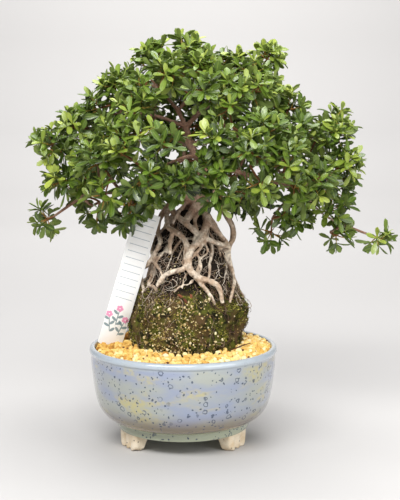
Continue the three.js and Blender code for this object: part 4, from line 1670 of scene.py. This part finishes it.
@dataclass
class Marker(Part):
    """A flat white plant marker with a pointed foot, leaning in the gravel."""

    width: float = 24.5
    length: float = 150.0
    thickness: float = 0.9
    foot: Point = (-76.4, -3.5, 94.0)
    lean: float = 17.0
    tip_forward: float = 10.0
    edge: float = 0.25

    def build(self) -> None:
        """Builds the marker."""
        hand_over("plant_marker", self.blade(), [self.finishes.marker], ["label"], 30.0)

    def blade(self) -> BMesh:
        """Extrudes the blade's outline, eases its edges and lays its face out in marker widths.

        Returns:
            The blade.
        """
        half = self.width / 2
        shoulder = half * 0.45
        outline = [(0.0, 0.0), (half, shoulder), (half, self.length), (-half, self.length), (-half, shoulder)]
        bm = bmesh.new()
        face = bm.faces.new([bm.verts.new((x, y, -self.thickness / 2)) for x, y in outline])
        grown = ops.extrude_face_region(bm, geom=[face])["geom"]
        lifted = [item for item in grown if isinstance(item, BMVert)]
        ops.translate(bm, vec=(0, 0, self.thickness), verts=lifted)
        ops.recalc_face_normals(bm, faces=bm.faces)
        ease_edges(bm, self.edge, 2)
        flat = bm.loops.layers.uv.new("UVMap")
        front = bm.faces.layers.float.new("front")
        for face in bm.faces:
            face[front] = 1.0 if face.normal.z > 0.9 else 0.0
            for loop in face.loops:
                loop[flat].uv = (loop.vert.co.x / self.width + 0.5, loop.vert.co.y / self.width)
        stand = Matrix.Rotation(math.radians(90 + self.tip_forward), 4, "X")
        place = Matrix.Translation(self.foot) @ Matrix.Rotation(math.radians(self.lean), 4, "Y") @ stand
        ops.transform(bm, matrix=place, verts=bm.verts)
        return self.site.settle(bm)


@dataclass(frozen=True)
class Limb:
    """A round limb: its route in millimetres and the radii along it."""

    route: tuple[Point, ...]
    radii: tuple[float, ...]


TRUNK = Limb(
    ((15, 1, 233), (17, 0, 251), (19, 0, 262), (17, 0, 284), (8, 0, 299), (3, 0, 320)),
    (14, 12, 8, 6, 4.8, 3.6),
)
FRONT_ROOTS = (
    Limb(
        ((17, 0, 250), (5, -3, 250), (-8, -4, 247), (-15, -3, 239), (-23, -6, 228), (-25, -10, 216),
         (-22, -23, 207), (-27, -24, 196), (-34, -18, 184), (-42, -3, 173), (-39, -18, 158), (-37, -27, 148)),
        (10, 8.1, 5.5, 4.2, 3.5, 3.2, 3.2, 3, 3, 2.5, 2, 1.6),
    ),
    Limb(
        ((-14, -3, 240), (-6, -18, 232), (5, -30, 224), (16, -33, 215), (26, -31, 209), (36, -25, 205),
         (45, -9, 200)),
        (4.5, 3.8, 3.5, 3.5, 3.5, 3, 2.8),
    ),
    Limb(
        ((-15, -3, 240), (-16, -14, 230), (-14, -23, 221), (-9, -29, 218), (-2, -34, 214), (4, -38, 206),
         (3, -41, 197), (2, -45, 184), (-9, -43.5, 180), (-19, -40, 174), (-25, -38, 164)),
        (3.5, 3.2, 3.2, 3.8, 3.8, 3.5, 3.2, 3.2, 3.2, 3, 2.2),
    ),
    Limb(((-9, -29, 218), (-12, -32, 208), (-12, -38, 196)), (3.2, 2.8, 2.1)),
    Limb(((20, -5, 248), (12, -12, 239), (5, -24, 230), (3, -31, 223)), (6, 5, 4.5, 3)),
    Limb(
        ((20, -4, 244), (24, -20, 228), (21, -30, 218), (16, -37, 209), (8, -41, 201), (6, -43.5, 192),
         (8, -46, 181), (17, -46, 174), (28, -44, 170), (36, -42, 163), (39, -45, 149)),
        (5.5, 5, 4.5, 4.4, 4.3, 4.3, 4.2, 4.1, 3.8, 3.4, 2.4),
    ),
    Limb(((9, -46, 180), (18, -45, 168), (26, -43, 158), (32, -43, 147)), (3.2, 3, 2.6, 1.9)),
    Limb(
        ((19, 0, 250), (31, 0, 252), (39, -2, 245), (42, -2, 233), (49, -2, 220), (50, -3, 209),
         (46, -7, 198), (47, -8, 184), (51, -12, 168), (49, -29, 158), (46, -36, 148)),
        (7.5, 5.5, 4.2, 3.8, 3.8, 3.8, 3, 2.5, 2.5, 2.2, 1.8),
    ),
    Limb(((18, -4, 245), (25, -20, 227), (37, -19, 213), (45, -9, 203)), (4.2, 3.2, 3, 2.2)),
    Limb(
        ((18, -4, 246), (16, -15, 236), (12, -25, 227), (14, -32, 218), (10, -37, 209)),
        (3.4, 2.8, 2.4, 2.2, 1.8),
    ),
    Limb(((10, -3, 248), (2, -12, 242), (-5, -21, 234), (-10, -28, 225)), (3.2, 2.6, 2.3, 2)),
)
BOUGHS = (
    Limb(((3, 0, 318), (-6, 1, 336), (-20, -4, 352), (-32, -6, 366)), (4, 3.2, 2.6, 1.9)),
    Limb(((-5, 1, 334), (6, 3, 350), (8, 4, 366)), (3, 2.4, 1.8)),
    Limb(((3, 0, 318), (14, 0, 330), (32, -2, 345), (50, 0, 352), (64, 0, 360)), (4.4, 4, 3.2, 2.4, 1.9)),
    Limb(
        ((3, 0, 318), (-11, 0, 324), (-30, 6, 330), (-56, 4, 332), (-76, 2, 330)),
        (3.6, 3.2, 2.8, 2.2, 1.8),
    ),
    Limb(
        ((8, 0, 299), (-2, 1, 307), (-20, 4, 314), (-50, 2, 304), (-84, -4, 300), (-106, -4, 298)),
        (4.4, 4, 3.4, 3, 2.4, 1.9),
    ),
    Limb(
        ((17, 0, 280), (-8, -20, 274), (-38, -36, 264), (-66, -36, 256), (-92, -20, 254), (-100, -8, 250)),
        (4.4, 3.8, 3.2, 2.8, 2.4, 1.9),
    ),
    Limb(
        ((17, 0, 284), (24, -1, 283), (43, -6, 278), (62, -12, 272), (92, -12, 264), (118, -10, 262),
         (138, -2, 262)),
        (5.4, 5, 4.4, 3.8, 3, 2.4, 1.9),
    ),
    Limb(((16, 0, 292), (38, 3, 294), (64, 4, 293), (92, 6, 302), (120, 4, 304)), (3.8, 3.4, 3, 2.4, 1.8)),
    Limb(((94, -12, 264), (120, -16, 250), (140, -12, 232), (158, -6, 222)), (2.8, 2.4, 2, 1.7)),
    Limb(((17, 0, 288), (4, -34, 290), (-16, -62, 284), (-30, -72, 278)), (4, 3.2, 2.4, 1.8)),
    Limb(((17, 0, 282), (26, -34, 272), (22, -66, 266), (14, -84, 266)), (4, 3.2, 2.4, 1.8)),
    Limb(((17, 0, 287), (42, -34, 290), (66, -60, 292), (80, -70, 290)), (4, 3.2, 2.4, 1.8)),
    Limb(((8, 0, 300), (-12, 34, 306), (-38, 60, 304), (-58, 70, 298)), (4, 3.2, 2.4, 1.8)),
    Limb(((12, 0, 296), (10, 38, 292), (0, 72, 284), (2, 94, 282)), (4, 3.2, 2.4, 1.8)),
    Limb(((8, 0, 302), (34, 34, 306), (56, 62, 306), (70, 74, 302)), (4, 3.2, 2.4, 1.8)),
)


@dataclass
class Wood(Part):
    """Exposed roots, trunk and boughs run together in one skin."""

    mound: Mound
    back_angles: tuple[float, ...] = (8, 38, 66, 92, 118, 146, 172)
    back_heights: tuple[float, ...] = (230, 214, 196, 178, 160, 146)
    back_radii: tuple[float, ...] = (6, 5, 4, 3.4, 2.8, 2)
    back_sway: float = 9.0
    back_lift: float = 1.6
    root_crown: Point = (15.0, 2.0, 242.0)
    core_share: float = 0.8
    strands: int = 3
    strand_share: float = 0.5
    strand_reach: float = 0.36
    strand_twist: float = 0.11
    strand_from: float = 4.3
    route_steps: int = 6
    knob: float = 0.1
    knob_scale: float = 6.0
    thin_roots: int = 34
    thin_range: Pair = (1.3, 2.6)
    thin_tops: Pair = (200.0, 234.0)
    thin_foot: float = 146.0
    thin_step: float = 9.0
    thin_seed: int = 51
    voxel: float = 1.1
    smoothing: int = 2
    bough_share: float = 0.78
    scar: Point = (-3.6, -4.4, 305.0)
    scar_radius: float = 3.6
    ridge_scale: Point = (2.2, 2.2, 5.5)
    lump_scale: float = 4.5
    relief: float = 0.34
    bough_points: list[Vector] = field(default_factory=list)

    def build(self) -> None:
        """Builds the skin over all limbs."""
        tubes = Tubes(3)
        slim = [Limb(limb.route, tuple(r * self.bough_share for r in limb.radii)) for limb in BOUGHS]
        for index, limb in enumerate((TRUNK, *FRONT_ROOTS, *self.back_roots(), *self.side_roots(), *slim)):
            self.grow(tubes, limb, index)
        for limb in BOUGHS:
            self.bough_points += smooth_route([Vector(point) for point in limb.route], 4)[3:]
        limbs = tubes.mesh()
        scar = Matrix.Translation(self.scar)
        ops.create_uvsphere(limbs, u_segments=14, v_segments=8, radius=self.scar_radius, matrix=scar)
        bm = melted(limbs, self.voxel, self.smoothing)
        self.roughen(bm)
        hand_over("wood", self.site.settle(bm), [self.finishes.bark], ["trunk"], 80.0)

    def back_roots(self) -> list[Limb]:
        """Leads roots down over the hidden side of the root ball.

        Returns:
            The roots.
        """
        limbs = []
        for index, angle in enumerate(self.back_angles):
            route = [self.root_crown]
            for step, height in enumerate(self.back_heights):
                turn = math.radians(angle + self.back_sway * math.sin(step * 1.9 + index * 2.4))
                reach = self.mound.radius(height) + self.back_lift
                route.append((self.mound.high_axis + reach * math.cos(turn), reach * math.sin(turn), height))
            limbs.append(Limb(tuple(route), self.back_radii))
        return limbs

    def side_roots(self) -> list[Limb]:
        """Leads thin roots down over the upper root ball, between and across the others.

        Returns:
            The roots.
        """
        draw = random.Random(self.thin_seed)
        limbs = []
        for index in range(self.thin_roots):
            angle = math.tau * (index + draw.random()) / self.thin_roots
            height = draw.uniform(*self.thin_tops)
            heading = draw.gauss(0, 0.5)
            lift = draw.uniform(1.0, 3.0)
            route: list[Point] = []
            for _ in range(draw.randint(5, 8)):
                route.append(tuple(self.mound.point(angle, height, lift)))
                heading = heading * 0.7 + draw.gauss(0, 0.5)
                height = max(self.thin_foot, height - self.thin_step * math.cos(heading))
                angle += self.thin_step * math.sin(heading) / max(12.0, self.mound.radius(height))
            thick = draw.uniform(*self.thin_range)
            limbs.append(Limb(tuple(route), (thick, thick * 0.9, thick * 0.75)))
        return limbs

    def grow(self, tubes: Tubes, limb: Limb, index: int) -> None:
        """Adds a limb: a knobbly core, with strands winding along it where it is thick.

        Args:
            tubes: Takes the limb.
            limb: The limb.
            index: Its number, which sets how it is knobbed and wound.
        """
        points = smooth_route([Vector(point) for point in limb.route], self.route_steps)
        knobs = []
        for point, radius in zip(points, along(limb.radii, len(points))):
            swell = noise.noise(point / self.knob_scale + Vector((index, 0, 0)))
            knobs.append(radius * (1 + self.knob * swell))
        tubes.add(points, [r * self.core_share for r in knobs])
        if limb.radii[0] < self.strand_from:
            return
        for strand in range(self.strands):
            route = []
            for step, (point, radius) in enumerate(zip(points, knobs)):
                ahead = points[min(step + 1, len(points) - 1)] - points[max(step - 1, 0)]
                side = ahead.cross(UP if abs(ahead.normalized().z) < 0.9 else Vector((1, 0, 0))).normalized()
                over = ahead.cross(side).normalized()
                turn = strand * math.tau / self.strands + step * self.strand_twist + index
                away = (side * math.cos(turn) + over * math.sin(turn)) * radius * self.strand_reach
                route.append(point + away)
            tubes.add(route, [r * self.strand_share for r in knobs])

    def roughen(self, bm: BMesh) -> None:
        """Pushes the skin in and out a little, and marks painted shade where it lies deep and where it faces
        down.

        Args:
            bm: The skin.
        """
        layer = bm.verts.layers.float.new("hollow")
        bm.normal_update()
        for vert in bm.verts:
            ridge = noise.noise(Vector([part / scale for part, scale in zip(vert.co, self.ridge_scale)]))
            lump = noise.noise(vert.co / self.lump_scale + Vector((5, 1, 7)))
            # Painted shade: strongest where the skin is pushed in, and on sides that face down.
            recess_shade = max(0.0, -(0.7 * ridge + 0.6 * lump))
            vert[layer] = min(1.0, recess_shade + 0.55 * max(0.0, -vert.normal.z))
            vert.co += vert.normal * (self.relief * ridge + self.relief * lump)


@dataclass(frozen=True)
class PlainSpray:
    """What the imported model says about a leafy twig, in millimetres.

    Each knot is its centre with the places where its blades start and end.
    """

    node: str
    joint: Vector
    foot_way: Vector
    knots: list[tuple[Vector, list[tuple[Vector, Vector]]]]

    @classmethod
    def read(cls, node: str, site: Site, foot_edge: float = 2.771, foot_reach: float = 6.7) -> "PlainSpray":
        """Reads a packed spray: a blade ends in a small cap, two rings away from its knot.

        Args:
            node: The spray's node.
            site: Where the pot stands.
            foot_edge: The edge of the even triangle in which the twig ends.
            foot_reach: How far the twig's end lies from the joint.

        Returns:
            The spray.
        """
        bm = bmesh.new()
        bm.from_mesh(frame["nodes"][node].data)
        ops.remove_doubles(bm, verts=bm.verts, dist=2e-5)

        def misfit(face: BMFace) -> float:
            """How far a face is from the twig's end, by the length of its edges."""
            return max(abs(edge.calc_length() - foot_edge * MM) for edge in face.edges)

        foot = min(bm.faces, key=misfit)
        joint = site.plan(foot.calc_center_median() - foot.normal * foot_reach * MM)
        groups: list[tuple[set[int], list[tuple[Vector, Vector]]]] = []
        for cap in bm.faces:
            if cap == foot or any(len(vert.link_edges) != 4 for vert in cap.verts):
                continue
            ring = cls.ring_below(set(cap.verts), set())
            base = cls.ring_below(ring, set(cap.verts))
            root = sum((vert.co for vert in base), Vector()) / len(base)
            blade = (site.plan(root), site.plan(cap.calc_center_median()))
            corners = {vert.index for vert in base}
            joined = [group for group in groups if group[0] & corners]
            groups = [group for group in groups if not group[0] & corners]
            blades = [blade, *(one for group in joined for one in group[1])]
            groups.append((corners.union(*(group[0] for group in joined)), blades))
        bm.verts.ensure_lookup_table()
        knots = [
            (site.plan(sum((bm.verts[i].co for i in corners), Vector()) / len(corners)), blades)
            for corners, blades in groups
        ]
        way = foot.normal.copy()
        bm.free()
        return cls(node, joint, way, knots)

    @staticmethod
    def ring_below(ring: set[BMVert], above: set[BMVert]) -> set[BMVert]:
        """The corners joined to a ring, apart from the ring itself and the one above it."""
        near = {edge.other_vert(vert) for vert in ring for edge in vert.link_edges}
        return near - ring - above


@dataclass
class LeafShape:
    """A small azalea leaf one unit long: obovate, folded a little at the midrib and drooping."""

    stations: Profile = ((0.0, 0.03), (0.28, 0.1), (0.58, 0.192), (0.85, 0.172), (1.0, 0.03))
    fold: float = 0.22
    droop: float = 0.14
    curl: float = 0.0
    thickness: float = 0.02

    def mesh(self) -> Mesh:
        """Builds the leaf as a thin closed shape with its UVs, its underside marked.

        Returns:
            The leaf.
        """
        bm = bmesh.new()
        rows = len(self.stations) - 1
        ops.create_grid(bm, x_segments=2, y_segments=rows, size=0.5, calc_uvs=False)
        flat = bm.loops.layers.uv.new("UVMap")
        for face in bm.faces:
            for loop in face.loops:
                loop[flat].uv = (loop.vert.co.x + 0.5, loop.vert.co.y + 0.5)
        for vert in bm.verts:
            reach, half = self.stations[round((vert.co.y + 0.5) * rows)]
            side = 2 * vert.co.x * half
            rise = abs(side) * self.fold - self.droop * reach * reach + self.curl * side * reach
            vert.co = Vector((side, reach, rise))
        bm.faces.layers.float.new("underside")
        ops.recalc_face_normals(bm, faces=bm.faces)
        if sum(face.normal.z for face in bm.faces) < 0:
            ops.reverse_faces(bm, faces=bm.faces)
        ops.solidify(bm, geom=bm.faces[:], thickness=self.thickness)
        ops.recalc_face_normals(bm, faces=bm.faces)
        below = bm.faces.layers.float["underside"]
        for face in bm.faces:
            face[below] = 1.0 if face.normal.z < -0.3 else 0.0
        return toned(bm)


@dataclass
class Crown(Part):
    """The foliage: every packed spray as a fan of forked shoots, each with a rosette of small leaves."""

    wood: Wood
    sprays: int = 53
    seed: int = 41
    centre: Point = (15.0, 0.0, 285.0)
    young_above: float = 335.0
    shoot_share: float = 0.58
    shoot_lift: float = 0.45
    shoot_sway: float = 0.18
    shoot_radii: Pair = (0.75, 0.42)
    fork_radii: Pair = (0.6, 0.4)
    fork_reach: Pair = (5.0, 9.0)
    knot_radii: Pair = (1.2, 0.95)
    branchlet_radii: Point = (1.9, 1.5, 1.2)
    branchlet_bend: float = 0.45
    leaf_length: Pair = (13.0, 17.5)
    rosette_leaves: tuple[int, int] = (5, 6)
    stem_leaves: tuple[int, int] = (2, 4)
    fork_leaves: tuple[int, int] = (4, 5)
    crown_foot: float = 230.0
    crown_top: float = 400.0
    crown_reach: float = 140.0
    # Leaf tones: partly real, with younger growth high up, outside and in the rosettes' middles; partly
    # painted shade, darker low down, inside, behind and along the stems.
    age_and_shade_by_height: float = 0.24
    age_and_shade_by_reach: float = 0.38
    age_spread: Pair = (0.04, 0.13)
    stem_age_and_shade: float = -0.12
    fork_age: float = -0.06
    inner_age: float = 0.34
    green_tip: float = 11.0
    window: Point = (5.0, -60.0, 326.0)
    window_size: Pair = (34.0, 28.0)
    window_thinning: float = 0.7
    open_below: float = 258.0
    edge_thinning: float = 0.6
    backing: int = 3
    backing_behind: float = 8.0
    backing_within: float = 80.0
    shade_behind: float = 0.1
    shade_reach: float = 60.0
    rosette_lifts: Pair = (14.0, 66.0)
    shapes: tuple[LeafShape, ...] = (
        LeafShape(),
        LeafShape(fold=0.3, droop=0.22, curl=0.1),
        LeafShape(fold=0.14, droop=0.04, curl=-0.12),
        LeafShape(fold=0.35, droop=-0.06),
    )

    def build(self) -> None:
        """Builds each spray, then the branchlets that carry them."""
        templates = [shape.mesh() for shape in self.shapes]
        branchlets = Tubes(1)
        for index in range(1, self.sprays + 1):
            spray = PlainSpray.read(f"spray_{index:02d}", self.site)
            self.add_branchlet(branchlets, spray)
            self.dress(spray, Twig(templates, random.Random(self.seed + index)))
        bm = self.site.settle(branchlets.mesh())
        # An empty painted shade layer: the branchlets' bark takes no painted shade.
        bm.verts.layers.float.new("hollow")
        hand_over("branchlets", bm, [self.finishes.limb_bark], ["trunk"], 80.0)
        for template in templates:
            bpy.data.meshes.remove(template)

    def add_branchlet(self, tubes: Tubes, spray: PlainSpray) -> None:
        """Adds the branch from the bough that the spray's twig points at, up to its joint.

        Args:
            tubes: Takes the branch.
            spray: The spray.
        """

        def detour(point: Vector) -> float:
            """How far the point is, made larger the more it lies off the twig's way."""
            gap = point - spray.joint
            return gap.length * (1.0 + 4.0 * (1.0 - gap.normalized().dot(spray.foot_way)))

        start = min(self.wood.bough_points, key=detour)
        span = (start - spray.joint).length
        bend = spray.joint + spray.foot_way * span * self.branchlet_bend
        route = smooth_route([start, bend, spray.joint], 4)
        tubes.add(route, along(self.branchlet_radii, len(route)))

    def dress(self, spray: PlainSpray, twig: "Twig") -> None:
        """Grows one spray: forks to its knots, shoots from the knots and leaves on the shoots.

        Args:
            spray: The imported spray.
            twig: Takes the stems and leaves.
        """
        for knot, blades in spray.knots:
            middle = spray.joint.lerp(knot, 0.5) + UP * twig.draw.uniform(-1, 1)
            twig.stem([spray.joint, middle, knot], *self.knot_radii)
            for root, tip in blades:
                self.grow_shoot(knot, root, tip, twig)
        twig.close(self.green_tip)
        is_young = max(knot.z for knot, _ in spray.knots) > self.young_above
        leaf = self.finishes.young_leaf if is_young else self.finishes.leaf
        name = spray.node.replace("spray", "foliage")
        hand_over(name, self.site.settle(twig.bm), [leaf, self.finishes.shoots], [spray.node], 80.0)

    def grow_shoot(self, knot: Vector, root: Vector, tip: Vector, twig: "Twig") -> None:
        """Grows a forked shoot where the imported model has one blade.

        Args:
            knot: The knot that the shoot leaves.
            root: Where the blade starts.
            tip: Where the blade ends.
            twig: Takes the stems and leaves.
        """
        draw = twig.draw
        reach = tip - root
        end = root + reach * self.shoot_share + UP * draw.uniform(-1.0, 2.5)
        sway = Vector([draw.gauss(0, self.shoot_sway) for _ in range(3)])
        axis = (reach.normalized() + UP * self.shoot_lift + sway).normalized()
        # The rosette's tone: how old its leaves are, with painted shade low down, inside and behind.
        age = self.age(end) + draw.gauss(*self.age_spread)
        bend = knot.lerp(end, 0.5) - axis * 0.8
        twig.stem([knot, bend, end], *self.shoot_radii)
        twig.tips.append(end)
        self.add_rosette(twig, end, axis, draw.randint(*self.rosette_leaves), age)
        if draw.random() < self.thinning(end):
            return
        is_behind = end.y > self.backing_behind and abs(end.x) < self.backing_within
        count = draw.randint(*self.stem_leaves) + (self.backing if is_behind else 0)
        self.add_stem_leaves(twig, knot, end, axis, count, age + self.stem_age_and_shade)
        side = axis.orthogonal().normalized()
        side.rotate(Matrix.Rotation(draw.uniform(0, math.tau), 3, axis))
        fork_axis = (axis + side * draw.uniform(0.7, 1.1) + UP * 0.25).normalized()
        fork = knot.lerp(end, draw.uniform(0.25, 0.6))
        fork_end = fork + fork_axis * draw.uniform(*self.fork_reach)
        twig.stem([fork, fork.lerp(fork_end, 0.5) + side * 0.4, fork_end], *self.fork_radii)
        twig.tips.append(fork_end)
        self.add_rosette(twig, fork_end, fork_axis, draw.randint(*self.fork_leaves), age + self.fork_age)

    def age(self, end: Vector) -> float:
        """How young the leaves at a place are, with painted shade: darker low down, inside and behind.

        Args:
            end: The place.

        Returns:
            The tone, from 0 for old leaves and deep painted shade.
        """
        height = clamp((end.z - self.crown_foot) / (self.crown_top - self.crown_foot))
        outer = min(1.0, (end - Vector(self.centre)).length / self.crown_reach)
        behind = self.shade_behind * max(0.0, end.y) / self.shade_reach
        return self.age_and_shade_by_height * height + self.age_and_shade_by_reach * outer - behind

    def thinning(self, end: Vector) -> float:
        """How likely a shoot stays simple: before the trunk's fork and along the crown's lower edge.

        Args:
            end: The shoot's end.

        Returns:
            The chance, from 0 to 1.
        """
        x, _, z = self.window
        wide, high = self.window_size
        if end.y < 0 and ((end.x - x) / wide) ** 2 + ((end.z - z) / high) ** 2 < 1:
            return self.window_thinning
        return self.edge_thinning if end.z < self.open_below else 0.0

    def add_rosette(self, twig: "Twig", end: Vector, axis: Vector, count: int, age: float) -> None:
        """Adds a rosette: wide leaves outside, short steep young ones in the middle.

        Args:
            twig: Takes the leaves.
            end: The shoot's end.
            axis: The shoot's direction.
            count: How many leaves.
            age: The leaves' tone, from 0 for old to 1 for young, lowered by painted shade low down, inside
                and behind.
        """
        draw = twig.draw
        start = draw.uniform(0, math.tau)
        for index in range(count):
            inner = index / (count - 1)
            lift = math.radians(lerp(*self.rosette_lifts, inner**1.5) + draw.gauss(0, 8))
            length = draw.uniform(*self.leaf_length) * lerp(1.0, 0.6, inner**2)
            base = end - axis * lerp(1.8, 0.0, inner)
            twig.leaf(base, axis, start + index * GOLDEN_TURN, lift, length, age + self.inner_age * inner**2)

    def add_stem_leaves(
        self, twig: "Twig", knot: Vector, end: Vector, axis: Vector, count: int, age: float
    ) -> None:
        """Adds leaves along a shoot's stem.

        Args:
            twig: Takes the leaves.
            knot: Where the stem starts.
            end: Where it ends.
            axis: Its direction.
            count: How many leaves.
            age: The leaves' tone, from 0 for old to 1 for young, lowered by painted shade low down, inside
                and behind.
        """
        draw = twig.draw
        start = draw.uniform(0, math.tau)
        for index in range(count):
            base = knot.lerp(end, lerp(0.15, 0.8, index / count) + draw.uniform(0, 0.12))
            lift = math.radians(draw.uniform(0, 42))
            length = draw.uniform(*self.leaf_length) * 0.95
            twig.leaf(base, axis, start + index * GOLDEN_TURN, lift, length, age - 0.1 * draw.random())


class Twig:
    """A leafy twig that is being grown, in millimetres."""

    def __init__(self, templates: Sequence[Mesh], draw: random.Random) -> None:
        """Starts a bare twig.

        Args:
            templates: The leaf shapes.
            draw: Where the chances come from.
        """
        self.leaves = Crumbs(templates[0], 0)
        self.templates = templates
        self.draw = draw
        self.bm = self.leaves.bm
        self.stems = Tubes(0)
        self.tips: list[Vector] = []

    def stem(self, points: Sequence[Vector], start: float, end: float) -> None:
        """Adds a stem through three points, with the radius at its start and end."""
        route = smooth_route(points, 2)
        self.stems.add(route, along([start, end], len(route)))

    def leaf(self, base: Vector, axis: Vector, turn: float, lift: float, length: float, tone: float) -> None:
        """Adds a leaf.

        Args:
            base: Where the leaf leaves the stem.
            axis: The stem's direction.
            turn: The leaf's angle round the stem.
            lift: Its angle towards the stem's tip.
            length: Its length.
            tone: Its tone, from 0 for old to 1 for young, lowered by painted shade low down, inside and
                behind.
        """
        draw = self.draw
        side = axis.orthogonal().normalized()
        ring = side * math.cos(turn) + axis.cross(side) * math.sin(turn)
        heading = (ring * math.cos(lift) + axis * math.sin(lift)).normalized()
        facing = axis + UP * 0.5 + Vector([draw.gauss(0, 0.2) for _ in range(3)])
        across = heading.cross(facing).normalized()
        turned = Matrix((across, heading, across.cross(heading))).transposed().to_4x4()
        self.leaves.shape = draw.choice(self.templates)
        spread = Matrix.Diagonal((length * draw.uniform(0.88, 1.12), length, length, 1.0))
        self.leaves.add(Matrix.Translation(base) @ turned @ spread, clamp(tone))

    def close(self, green_tip: float) -> None:
        """Joins the stems to the leaves, greener towards the tips.

        Args:
            green_tip: How far from a tip the stem turns brown.
        """
        wood = self.stems.mesh()
        tree = KDTree(len(self.tips))
        for index, tip in enumerate(self.tips):
            tree.insert(tip, index)
        tree.balance()
        tone = wood.faces.layers.float.new("tone")
        for face in wood.faces:
            face.material_index = 1
            away = tree.find(face.calc_center_median())[2]
            face[tone] = max(0.0, 1.0 - away / green_tip)
        self.leaves.join(mesh_of(wood))


class BuriedParts(Part):
    """The drain netting and the potting soil, which stay as packed."""

    def build(self) -> None:
        """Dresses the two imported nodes."""
        for node, material in (("drain_mesh", self.finishes.netting), ("potting_soil", self.finishes.soil)):
            held = frame["nodes"][node]
            for slot in held.material_slots:
                slot.material = material
            LOG.info("%s: dressed", node)


@dataclass
class Studio:
    """Pale floor, soft lights and the camera."""

    site: Site
    camera_place: Point = (17.0, -1097.0, 335.0)
    camera_pitch: float = 7.25
    lens: float = 79.2
    sensor: float = 36.0
    sight: float = 20.0
    floor_reach: float = 6.0
    floor_front: float = -3.0
    floor_sweep: Profile = ((2.2, 0.0), (2.6, 0.05), (2.9, 0.25), (3.05, 0.6), (3.1, 1.2), (3.1, 3.5))
    floor_colour: Colour = tint(190, 188, 186)
    floor_roughness: float = 0.85
    lights: tuple[tuple[str, Point, Point, Pair, float], ...] = (
        ("key_softbox", (-330.0, -1150.0, 1250.0), (20.0, 0.0, 220.0), (1.5, 0.4), 32.0),
        ("fill_softbox", (950.0, -900.0, 600.0), (20.0, 0.0, 220.0), (0.9, 0.9), 8.5),
        ("top_softbox", (120.0, 60.0, 1350.0), (20.0, 0.0, 220.0), (0.7, 0.7), 11.0),
        ("backdrop_softbox", (0.0, 1700.0, 2200.0), (0.0, 3100.0, 500.0), (1.4, 1.4), 64.0),
    )
    sky: float = 0.32
    sky_colour: Colour = (0.93, 0.94, 1.0, 1.0)

    def build(self) -> None:
        """Sets up the camera, the floor and the lights."""
        self.add_camera()
        self.add_floor()
        for name, place, aim, size, power in self.lights:
            self.add_light(name, place, aim, size, power)
        world = bpy.data.worlds.new("studio")
        world.use_nodes = True
        sky = world.node_tree.nodes["Background"].inputs
        sky["Color"].default_value = self.sky_colour
        sky["Strength"].default_value = self.sky
        bpy.context.scene.world = world
        bpy.context.scene.view_settings.view_transform = "Standard"

    def add_camera(self) -> None:
        """Sets the camera up where the photograph was taken from."""
        data = bpy.data.cameras.new("camera")
        data.lens = self.lens
        data.sensor_width = self.sensor
        data.clip_end = self.sight
        camera = bpy.data.objects.new("camera", data)
        camera.location = self.site.at(self.camera_place)
        camera.rotation_euler = (math.radians(90 - self.camera_pitch), 0.0, 0.0)
        bpy.context.scene.collection.objects.link(camera)
        bpy.context.scene.camera = camera

    def add_floor(self) -> None:
        """Lays a pale floor that sweeps up into a backdrop."""
        bm = bmesh.new()
        ends = (-self.floor_reach, self.floor_reach)
        edge = bm.edges.new([bm.verts.new((x, self.floor_front, 0.0)) for x in ends])
        for y, z in self.floor_sweep:
            grown = ops.extrude_edge_only(bm, edges=[edge])["geom"]
            for vert in (item for item in grown if isinstance(item, BMVert)):
                vert.co.y = y
                vert.co.z = z
            edge = next(item for item in grown if isinstance(item, BMEdge))
        ops.recalc_face_normals(bm, faces=bm.faces)
        mesh = mesh_of(bm)
        skin = Skin("studio_floor", self.floor_roughness)
        skin.set(Base_Color=self.floor_colour)
        mesh.materials.append(skin.material)
        mesh.shade_smooth()
        floor = bpy.data.objects.new("floor", mesh)
        bpy.context.scene.collection.objects.link(floor)

    def add_light(self, name: str, place: Point, aim: Point, size: Pair, power: float) -> None:
        """Hangs a softbox.

        Args:
            name: The light's name.
            place: Where it hangs, in millimetres from the pot's axis.
            aim: What it faces.
            size: Its width and height, in metres.
            power: Its power, in watts.
        """
        data = bpy.data.lights.new(name, "AREA")
        data.shape = "RECTANGLE"
        data.size, data.size_y = size
        data.energy = power
        light = bpy.data.objects.new(name, data)
        light.location = self.site.at(place)
        toward = self.site.at(aim) - light.location
        light.rotation_euler = toward.to_track_quat("-Z", "Y").to_euler()
        bpy.context.scene.collection.objects.link(light)


def corners(bounds: tuple[Iterable[float], Iterable[float]]) -> list[list[float]]:
    """A box's two corners as plain lists."""
    return [[float(value) for value in corner] for corner in bounds]


def main() -> None:
    """Builds the bonsai piece by piece."""
    logging.basicConfig(level=logging.INFO, format="%(message)s")
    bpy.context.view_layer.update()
    site = Site.from_frame()
    finishes = Finishes()
    mound = Mound()
    wood = Wood(site, finishes, mound)
    for part in (
        Studio(site),
        Pot(site, finishes),
        RootBall(site, finishes, mound),
        GravelBed(site, finishes),
        Marker(site, finishes),
        BuriedParts(site, finishes),
        wood,
        Crown(site, finishes, wood),
    ):
        part.build()
        LOG.info("%s built", type(part).__name__)


if __name__ == "__main__":
    main()
